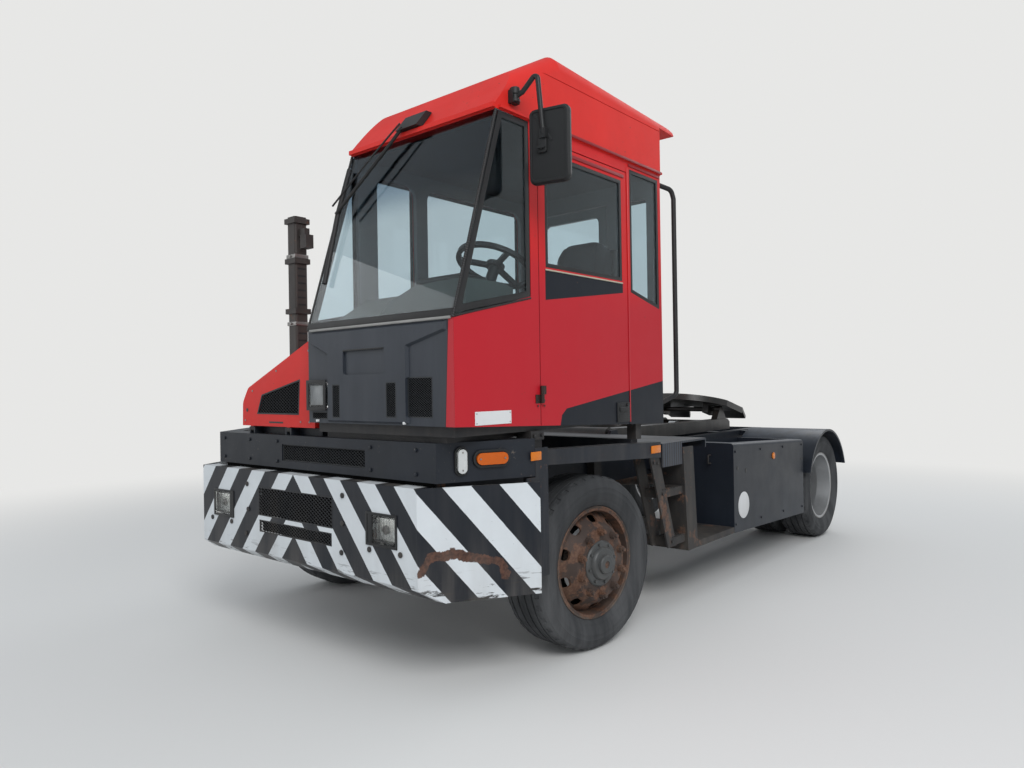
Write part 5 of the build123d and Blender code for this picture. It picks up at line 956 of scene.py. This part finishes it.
# Headlamps: a black surround with a dark inner third, and a silver bowl with its bulb behind fluted glass
FLUTES = 15
FLUTE_PITCH = 0.0105
for side, hand in SIDES:
    x0, x1 = sorted((side * 0.604, side * 0.828))
    surround = front_plate("surround", boxed(x0, x1, 0.674, 0.832), NOSE + 0.001, 0.006, 0.013)
    x0, x1 = sorted((side * 0.616, side * 0.650))
    shade = block("shade", (x0, NOSE - 0.003, 0.684), (x1, NOSE + 0.003, 0.822), 0.002)
    joined("headlamp_surround_" + hand, [surround, shade], black_plastic)
    x0, x1 = sorted((side * 0.648, side * 0.812))
    bowl = block("headlamp_bowl_" + hand, (x0, NOSE + 0.030, 0.690), (x1, NOSE + 0.058, 0.816), 0.012, 3)
    finish_piece(bowl, reflector)
    bulb_at = (side * 0.730, NOSE + 0.030, 0.753)
    finish_piece(disc("headlamp_bulb_" + hand, bulb_at, FORWARD, 0.022, 0.014, 24, 0.006), bare_steel)
    starts = [x0 + 0.004 + FLUTE_PITCH * number for number in range(FLUTES)]
    flutes = [block("flute", (x, NOSE + 0.0005, 0.688), (x + 0.006, NOSE + 0.0035, 0.818), 0.0025, 1)
              for x in starts]
    joined("headlamp_flutes_" + hand, flutes, lamp_glass)

# Lamps on the beam's swept ends: black rims, the white marker's lens and the screws
BEAM_FOLD = {1: 1.030, -1: 0.860}
BEAM_END = (1.225, 0.460)
# Place along the end and height of each lamp, and how far from its middle the screws are
MARKER = (0.118, 1.080, 0.040)
OVAL = (0.270, 1.085, 0.062)


def end_run(side):
    """Direction along a swept end, across and back."""
    return Vector((BEAM_END[0] - BEAM_FOLD[side], BEAM_END[1])).normalized()


def on_end(side, along, z, out=0.0):
    """A point on a swept end of the beam, some way from its fold."""
    run = end_run(side)
    x = side * (BEAM_FOLD[side] + along * run.x + out * run.y)
    return (x, BEAM_FACE + along * run.y - out * run.x, z)


def end_normal(side):
    """Direction out of a swept end."""
    run = end_run(side)
    return Vector((side * run.y, -run.x, 0))


def oval(name, side, along, z, length, width, depth, edge, upright=False):
    """A long oval plate on a swept end, or a rim of some width."""
    corners = []
    for number in range(32):
        angle = 2 * pi * (number + 0.5) / 32
        reach = (length - width) / 2 * (1 if cos(angle) > 0 else -1)
        a, b = reach + cos(angle) * width / 2, sin(angle) * width / 2
        a, b = (b, a) if upright else (a, b)
        corners.append(on_end(side, along + a, z + b))
    return plate(name, corners, end_normal(side) * depth, 0.002, edge)


for side, hand in SIDES:
    rims = [oval("rim", side, *OVAL[:2], 0.188, 0.082, 0.015, 0.013),
            oval("rim", side, *MARKER[:2], 0.132, 0.066, 0.014, 0.009, True)]
    joined("end_lamp_rims_" + hand, rims, black_plastic)
    finish_piece(oval("marker_lens_" + hand, side, *MARKER[:2], 0.110, 0.044, 0.0285, 0.0, True),
                 marker_white)
    places = [on_end(side, MARKER[0], MARKER[1] + off * MARKER[2], 0.027) for off in (-1, 1)]
    places += [on_end(side, OVAL[0] + off * OVAL[2], OVAL[1], 0.023) for off in (-1, 1)]
    screws = heads(places, end_normal(side), 0.0045, 0.0025, 12, 0.001)
    joined("end_lamp_screws_" + hand, screws, bare_steel)

# Reflectors on the front plate and at the rear end of the arch beam
marks = [block("mark", (1.226, -0.634, 1.060), (1.232, -0.556, 1.102), 0.003),
         block("mark", (1.200, 0.535, 1.000), (1.207, 0.643, 1.046), 0.003)]
joined("side_reflectors", marks, orange_red)

# Front panel: work lamp's housing and lens, the pocket's lip and the two clips at its foot
corners = boxed(0.134, 0.298, 1.306, 1.462)
finish_piece(front_plate("work_lamp_frame", corners, CAB_FRONT - 0.014, 0.006, 0.020), black_plastic)
finish_piece(block("work_lamp_bowl", (0.160, CAB_FRONT - 0.010, 1.332), (0.272, CAB_FRONT + 0.004, 1.436),
                   0.006), frosted)
finish_piece(block("pocket_lip", (0.437, CAB_FRONT - 0.016, 1.598), (0.747, CAB_FRONT - 0.008, 1.606), 0.002),
             black_plastic)
clips = [block("clip", (x - 0.006, CAB_FRONT - 0.017, 1.249), (x + 0.006, CAB_FRONT - 0.002, 1.261), 0.002)
         for x in (0.217, 0.880)]
joined("panel_clips", clips, white_sign)

# Left side: blank plate, latch, strips over the windows, beads at the door's edges, hinge screws
finish_piece(block("blank_plate", (CAB_LEFT, -0.974, 1.243), (CAB_LEFT + 0.0025, -0.728, 1.304), 0.001, 1),
             white_sign)
places = [(CAB_LEFT + 0.0025, y, z) for y in (-0.964, -0.738) for z in (1.252, 1.295)]
joined("plate_rivets", heads(places, LEFTWARD, 0.003, 0.0012, 10, 0.0004), bare_steel)
finish_piece(side_plate("rear_window_strip", boxed(0.340, 0.700, 2.668, 2.684), CAB_LEFT, 0.006, 0.0, 0.002),
             dull_red)
finish_piece(block("door_window_strip", (CAB_LEFT, -0.470, 2.588), (CAB_LEFT + 0.006, 0.285, 2.606), 0.002),
             dull_red, "door_left")
pull = block("pull", (CAB_LEFT + 0.004, 0.200, 1.262), (CAB_LEFT + 0.016, 0.296, 1.288), 0.005, 3)
hollow = block("hollow", (CAB_LEFT + 0.004, 0.196, 1.226), (CAB_LEFT + 0.009, 0.300, 1.252), 0.002)
key = disc("key", (CAB_LEFT + 0.006, 0.284, 1.300), LEFTWARD, 0.010, 0.006, 20, 0.0015)
joined("door_latch", [pull, hollow, key], black_plastic, "door_left")
finish_piece(block("latch_pad", (CAB_LEFT - 0.002, 0.183, 1.203), (CAB_LEFT + 0.0075, 0.312, 1.314), 0.003),
             black_plastic, "door_left")
finish_piece(block("door_rear_bead", (CAB_LEFT - 0.001, 0.3225, 1.200), (CAB_LEFT + 0.003, 0.331, 2.660),
                   0.0015), red)
finish_piece(block("door_front_bead", (CAB_LEFT - 0.012, -0.5055, 1.228), (CAB_LEFT - 0.002, -0.5005, 2.622),
                   0.001, 1), seal_rubber)
for name, y, body in (("hinge_screws_wall", -0.530, "chassis"), ("hinge_screws_door", -0.478, "door_left")):
    places = [(CAB_LEFT + 0.0035, y, z + off) for z in (1.330, 2.420) for off in (-0.013, 0.013)]
    joined(name, heads(places, LEFTWARD, 0.005, 0.003, 12, 0.001), black_steel, body)

# Box on the left: blank round plate, holes and a slot drawn as black marks of painted shade, round reflector,
# bolts, and the handle at its front
BOX_SIDE = 1.205
finish_piece(disc("round_plate", (BOX_SIDE, 1.855, 0.523), LEFTWARD, 0.096, 0.002, 48, 0.0006), white_sign)
# The holes and the slot are black discs and a black bar: painted shade for their insides
places = [(BOX_SIDE - 0.0005, y, z) for y, z in ((1.755, 0.799), (1.902, 0.769))]
holes = heads(places, LEFTWARD, 0.017, 0.0015, 20, 0.0004)
holes.append(block("slot", (BOX_SIDE - 0.001, 3.045, 0.748), (BOX_SIDE + 0.001, 3.105, 0.766), 0.0004, 1))
joined("box_holes", holes, seal_rubber)
finish_piece(disc("box_reflector", (BOX_SIDE, 2.436, 0.834), LEFTWARD, 0.026, 0.008, 24, 0.003), orange_red)
BOX_BOLTS = ((1.720, 0.920), (2.180, 0.905), (2.640, 0.890), (3.070, 0.878), (1.720, 0.400), (2.180, 0.385),
             (2.640, 0.370), (3.070, 0.350))
bolts = heads([(BOX_SIDE, y, z) for y, z in BOX_BOLTS], LEFTWARD, 0.009, 0.006, 6, 0.001)
joined("box_bolts", bolts, navy)
GRIP = ((1.689, 0.830), (1.655, 0.830), (1.650, 0.836), (1.650, 0.884), (1.655, 0.890), (1.689, 0.890))
finish_piece(tube("box_handle", [(1.030, y, z) for y, z in GRIP], 0.006), black_steel, "chassis", 60)

# Inside of the cab: the ceiling, and the cowl round the gauges
finish_piece(block("ceiling", (CAB_RIGHT + 0.038, -0.740, 2.672), (CAB_LEFT - 0.038, CAB_REAR - 0.038, 2.686),
                   0.004), lining)
cowl = block("cowl", (0.800, -0.960, 1.880), (1.100, -0.770, 1.930), 0.020, 3)
places = [(x, -0.771, 1.903) for x in (0.850, 0.905, 0.960, 1.015)]
gauges = heads(places, (0, 1, 0.2), 0.019, 0.006, 24, 0.002)
joined("gauge_cowl", [cowl] + gauges, black_plastic)

# Mirror: raised border and clamp on its back, the glass on the side towards the driver
MIRROR_AT = Vector((1.3723, -0.620, 2.515))
MIRROR_ACROSS = Vector((0.978, 0.208, 0))
MIRROR_BACK = Vector((0.208, -0.978, 0))
CLAMP_OFF = -0.030


def rounded(wide, high, corner, steps=5):
    """Points of a rectangle with round corners about its middle."""
    points = []
    for quarter in range(4):
        cx = (wide / 2 - corner) * (1 if quarter in (0, 3) else -1)
        cz = (high / 2 - corner) * (1 if quarter in (0, 1) else -1)
        for step in range(steps + 1):
            angle = pi / 2 * (quarter + step / steps)
            points.append((cx + corner * cos(angle), cz + corner * sin(angle)))
    return points


def on_mirror(a, b, out):
    """A point some way across, up and out of the back of the mirror."""
    return MIRROR_AT + MIRROR_ACROSS * a + MIRROR_BACK * out + Vector((0, 0, b))


def mirror_plate(name, outline, out, thick, edge, window=0.0, off=(0, 0)):
    """A plate on an outline over the mirror's back."""
    corners = [on_mirror(a + off[0], b + off[1], out) for a, b in outline]
    return plate(name, corners, MIRROR_BACK * thick, edge, window)


RIDGE = ((-0.080, 0.150), (-0.070, 0.152), (0.020, 0.020), (0.010, 0.014))
parts = [mirror_plate("border", rounded(0.192, 0.336, 0.028), 0.0375, 0.005, 0.0015, 0.012),
         mirror_plate("ridge", RIDGE, 0.0375, 0.003, 0.001),
         mirror_plate("clamp", rounded(0.046, 0.070, 0.010), 0.036, 0.014, 0.003, off=(CLAMP_OFF, 0)),
         disc("nut", on_mirror(CLAMP_OFF, -0.012, 0.050), MIRROR_BACK, 0.011, 0.010, 6, 0.0015),
         mirror_plate("wings", rounded(0.044, 0.012, 0.005), 0.058, 0.004, 0.001, off=(CLAMP_OFF, -0.012))]
joined("mirror_back", parts, black_plastic)
finish_piece(mirror_plate("mirror_face", rounded(0.174, 0.318, 0.024), 0.0005, -0.003, 0.0008), mirror_glass)
collar = turned("mirror_clamp", [(0, 0.020), (0.021, 0.020), (0.024, 0.016), (0.024, -0.010), (0.018, -0.014),
                                 (0.018, -0.034), (0.024, -0.038), (0.024, -0.048), (0, -0.050)],
                (1.212, -0.690, 2.788), UPWARD, 20)
finish_piece(collar, black_steel)

# Wiper's second arm, the ribs over the windshield and along the left side, the bead below the door's window
LINK = ((0.600, -0.862, 2.745), (0.500, -0.900, 2.655), (0.206, -0.990, 2.372))
finish_piece(tube("wiper_link", LINK, 0.005), black_steel, "chassis", 60)
RIB_Z = (2.6945, 2.7095)
ribs = [block("rib", (CAB_RIGHT + 0.004, GLASS_TOP[0] - 0.018, RIB_Z[0]),
              (CAB_LEFT - 0.004, GLASS_TOP[0] - 0.006, RIB_Z[1]), 0.003),
        block("rib", (CAB_LEFT + 0.010, -0.560, RIB_Z[0]), (CAB_LEFT + 0.0165, CAB_REAR - 0.004, RIB_Z[1]),
              0.0025)]
joined("roof_rails", ribs, dull_red)
finish_piece(beaded("door_window_bead", (CAB_LEFT + 0.001, -0.450, 1.988), (CAB_LEFT + 0.001, 0.265, 1.988),
                    0.009, 0.012), cream, "door_left")

# Below the cab: the bracket at the door's front with its bolts, and two cables
bracket = block("bracket", (1.080, -0.565, 1.150), (1.176, -0.461, 1.196), 0.004)
bolts = heads([(1.176, y, 1.172) for y in (-0.543, -0.483)], LEFTWARD, 0.010, 0.008, 6, 0.0015)
joined("cab_bracket", [bracket] + bolts, black_steel)
LOOP = ((0.930, -0.990, 1.196), (0.930, -0.990, 1.180), (0.960, -1.000, 1.172), (1.010, -1.000, 1.171),
        (1.050, -0.985, 1.178), (1.052, -0.980, 1.196))
finish_piece(tube("cable_loop", LOOP, 0.006), cream, "chassis", 60)
RUN = ((0.500, -0.940, 1.174), (0.640, -0.960, 1.172), (0.800, -0.945, 1.173), (0.900, -0.950, 1.174),
       (1.000, -0.930, 1.174))
finish_piece(tube("cable_run", RUN, 0.007), seal_rubber, "chassis", 60)

# Steps: grip plates with raised rims on the rungs, bolts through the struts
TRAY_X = (1.082, 1.186)
TRAY_DEPTH = 0.180
for number, (y, z) in enumerate(((0.672, 0.765), (0.787, 0.455))):
    corners = [(TRAY_X[0], y, z), (TRAY_X[1], y, z), (TRAY_X[1], y + TRAY_DEPTH, z),
               (TRAY_X[0], y + TRAY_DEPTH, z)]
    tray = plate("tray", corners, Vector((0, 0, 0.004)), 0.001, 0.010)
    places = [(1.098 + 0.0185 * row, y + 0.020 + 0.028 * place, z) for row in range(6) for place in range(6)]
    teeth = heads(places, UPWARD, 0.006, 0.004, 8, 0.001)
    joined(f"step_tray_{number}", [tray] + teeth, step_paint)
places = [(1.188, y, z) for y, z in ((0.585, 0.940), (0.630, 0.935), (0.690, 0.740), (0.800, 0.430))]
joined("strut_bolts", heads(places, LEFTWARD, 0.010, 0.007, 6, 0.001), step_paint)

# Exhaust guard: three clamps and the row of slots in its cover, drawn as black bars of painted shade
STACK_X = (-1.130, -1.030)
STACK_Y = (-0.400, -0.300)
BAND_OUT = 0.004
CLAMP_HEIGHT = 1.87
x0, x1, y0, y1 = STACK_X[0] - BAND_OUT, STACK_X[1] + BAND_OUT, STACK_Y[0] - BAND_OUT, STACK_Y[1] + BAND_OUT
bands = []
for z in (1.330, 1.860, 2.330):
    bands.append(plate("band", [(x0, y0, z), (x1, y0, z), (x1, y1, z), (x0, y1, z)], Vector((0, 0, 0.026)),
                       0.0015, 0.0045))
    bands.append(disc("nut", (sum(STACK_X) / 2, y0, z + 0.013), FORWARD, 0.009, 0.012, 6, 0.001))
joined("stack_bands", bands, bare_steel)
SLOT_STEP = 0.05
heights = [1.40 + SLOT_STEP * number for number in range(19)]
# Each slot is a thin black bar: painted shade for the opening
slots = [block("slot", (STACK_X[1] - 0.001, STACK_Y[0] + 0.018, z),
               (STACK_X[1] + 0.001, STACK_Y[1] - 0.018, z + 0.012), 0.0005, 1)
         for z in heights if abs(z - CLAMP_HEIGHT) > SLOT_STEP]
joined("stack_slots", slots, seal_rubber)

# Hood: the slot and the hole in its front, drawn in black as painted shade, and the screws
slot = block("slot", (-0.330, HOOD_FACE - 0.0008, 1.228), (-0.190, HOOD_FACE + 0.001, 1.238), 0.0004, 1)
hole = disc("hole", (-0.560, HOOD_FACE, 1.300), FORWARD, 0.011, 0.0012, 20, 0.0004)
# The slot and the hole are black marks of painted shade
joined("hood_slot", [slot, hole], seal_rubber, "hood")
HOOD_SCREWS = ((-0.580, 1.240), (-0.500, 1.410), (-0.250, 1.520), (0.060, 1.620), (0.060, 1.240),
               (-0.020, 1.240))
screws = heads([(x, HOOD_FACE, z) for x, z in HOOD_SCREWS], FORWARD, 0.006, 0.003, 12, 0.001)
joined("hood_screws", screws, bare_steel, "hood")


# Seat: cushion and backrest are blown up as cloth from their plain solids, then sewn
PRESSURE = 4.0
SWELL_FRAMES = 20
SWELL_CAP = 0.012
SEWN_DEPTH = 0.0045
SEWN_HALF = 0.006
# How much of the swelling the plain solid is shrunk by first, and the least side that counts
SHRINK_SHARE = 0.55
THINNEST = 0.05


def sewn_in(points, normals, middle, offset):
    """Presses two sewn lines into a pad, one on each side of its middle."""
    for number, normal in enumerate(normals):
        for line in (middle - offset, middle + offset):
            gap = abs(points[number].x - line)
            if gap < 4 * SEWN_HALF:
                points[number] = points[number] - normal * SEWN_DEPTH * 2.718 ** (-(gap / SEWN_HALF) ** 2)
    return points


def pad(name, node, line):
    """A padded piece grown from the plain solid of its node, with a sewn line on both sides of its middle."""
    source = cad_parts[node]
    piece = source.copy()
    piece.data = source.data.copy()
    piece.name = piece.data.name = name
    bpy.context.collection.objects.link(piece)
    pick(piece)
    corners = [Vector(corner) for corner in piece.bound_box]
    middle = sum(corners, Vector()) / 8
    size = max(corners, key=lambda c: c.length_squared) - min(corners, key=lambda c: c.length_squared)
    shrink = [1 - 2 * SWELL_CAP * SHRINK_SHARE / max(abs(v), THINNEST) for v in size]
    bpy.ops.object.mode_set(mode="EDIT")
    bpy.ops.mesh.select_all(action="SELECT")
    bpy.ops.transform.resize(value=shrink, center_override=middle)
    bpy.ops.object.mode_set(mode="OBJECT")
    apply_modifier(piece, "REMESH", mode="VOXEL", voxel_size=0.006)
    plain = [vertex.co.copy() for vertex in piece.data.vertices]
    bpy.ops.object.modifier_add(type="CLOTH")
    cloth = piece.modifiers[-1]
    cloth.settings.use_pressure = True
    cloth.settings.uniform_pressure_force = PRESSURE
    cloth.settings.effector_weights.gravity = 0
    for number in range(1, SWELL_FRAMES + 1):
        bpy.context.scene.frame_set(number)
    bpy.ops.object.modifier_apply(modifier=cloth.name)
    bpy.context.scene.frame_set(1)
    apply_modifier(piece, "SMOOTH", factor=0.5, iterations=6)
    places = []
    for vertex, start in zip(piece.data.vertices, plain):
        move = vertex.co - start
        places.append(start + move * min(1.0, SWELL_CAP / max(move.length, 1e-6)))
    places = sewn_in(places, [vertex.normal.copy() for vertex in piece.data.vertices], middle.x, line)
    for vertex, place in zip(piece.data.vertices, places):
        vertex.co = place
    piece.data.update()
    apply_modifier(piece, "SUBSURF", levels=1, render_levels=1)
    finish_piece(piece, seat_cloth, "chassis", 0)
    bpy.ops.object.shade_smooth()
    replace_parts(piece, node)


pad("padded_seat", "seat_cushion", 0.120)
pad("padded_backrest", "seat_backrest", 0.110)


# Floor, backdrop and lights

def mixed(tree, share, first, second, target):
    """Mixes two shaders by a share and feeds a socket."""
    mixer = tree.nodes.new("ShaderNodeMixShader")
    for value, socket in zip((share, first.outputs[0], second.outputs[0]), mixer.inputs):
        feed(value, socket)
    feed(mixer.outputs[0], target)


def seen_by(tree, *kinds):
    """1 for rays of two kinds, 0 for the others."""
    rays = tree.nodes.new("ShaderNodeLightPath").outputs
    first, second = [Number(rays[kind]) for kind in kinds]
    return most(first, second)


PALE = (0.80, 0.80, 0.79)
# Radii between which the floor melts into the backdrop
MELTING = (3.8, 9.5)
clear_selection()
bpy.ops.mesh.primitive_plane_add(size=160)
floor = settle("floor")
floor_material, shader, spot = new_material("pale_floor")
tree = floor_material.node_tree
for socket, value in (("Base Color", (0.74, 0.74, 0.73)), ("Roughness", 0.85), ("Specular IOR Level", 0.1)):
    feed(value, shader[socket])
glow = tree.nodes.new("ShaderNodeEmission")
feed(PALE, glow.inputs["Color"])
distance = tree.nodes.new("ShaderNodeVectorMath")
distance.operation = "LENGTH"
feed(spot.place, distance.inputs[0])
share = fade(Number(distance.outputs["Value"]), *MELTING) * seen_by(tree, "Is Camera Ray", "Is Glossy Ray")
mixed(tree, share, tree.nodes["Principled BSDF"], glow, tree.nodes["Material Output"].inputs["Surface"])
floor.data.materials.append(floor_material)

world = bpy.data.worlds.new("studio")
bpy.context.scene.world = world
world.use_nodes = True
tree = world.node_tree
light = tree.nodes["Background"]
feed((0.90, 0.95, 1.0), light.inputs["Color"])
feed(0.55, light.inputs["Strength"])
backdrop = tree.nodes.new("ShaderNodeBackground")
feed(PALE, backdrop.inputs["Color"])
mixed(tree, seen_by(tree, "Is Camera Ray", "Is Transmission Ray"), light, backdrop,
      tree.nodes["World Output"].inputs["Surface"])

LIGHTS_AIM = (0, 1.0, 1.2)
for name, place, size, power in (("key", (6.5, -4.5, 6.5), 4.0, 430.0),
                                 ("fill", (-6.0, -6.0, 4.0), 5.0, 90.0),
                                 ("rear", (1.0, 8.0, 6.0), 5.0, 150.0)):
    clear_selection()
    bpy.ops.object.light_add(type="AREA", location=at(*place))
    lamp = bpy.context.object
    lamp.name = name
    lamp.data.size = size
    lamp.data.energy = power
    lamp.rotation_euler = (at(*LIGHTS_AIM) - lamp.location).to_track_quat("-Z", "Y").to_euler()

clear_selection()
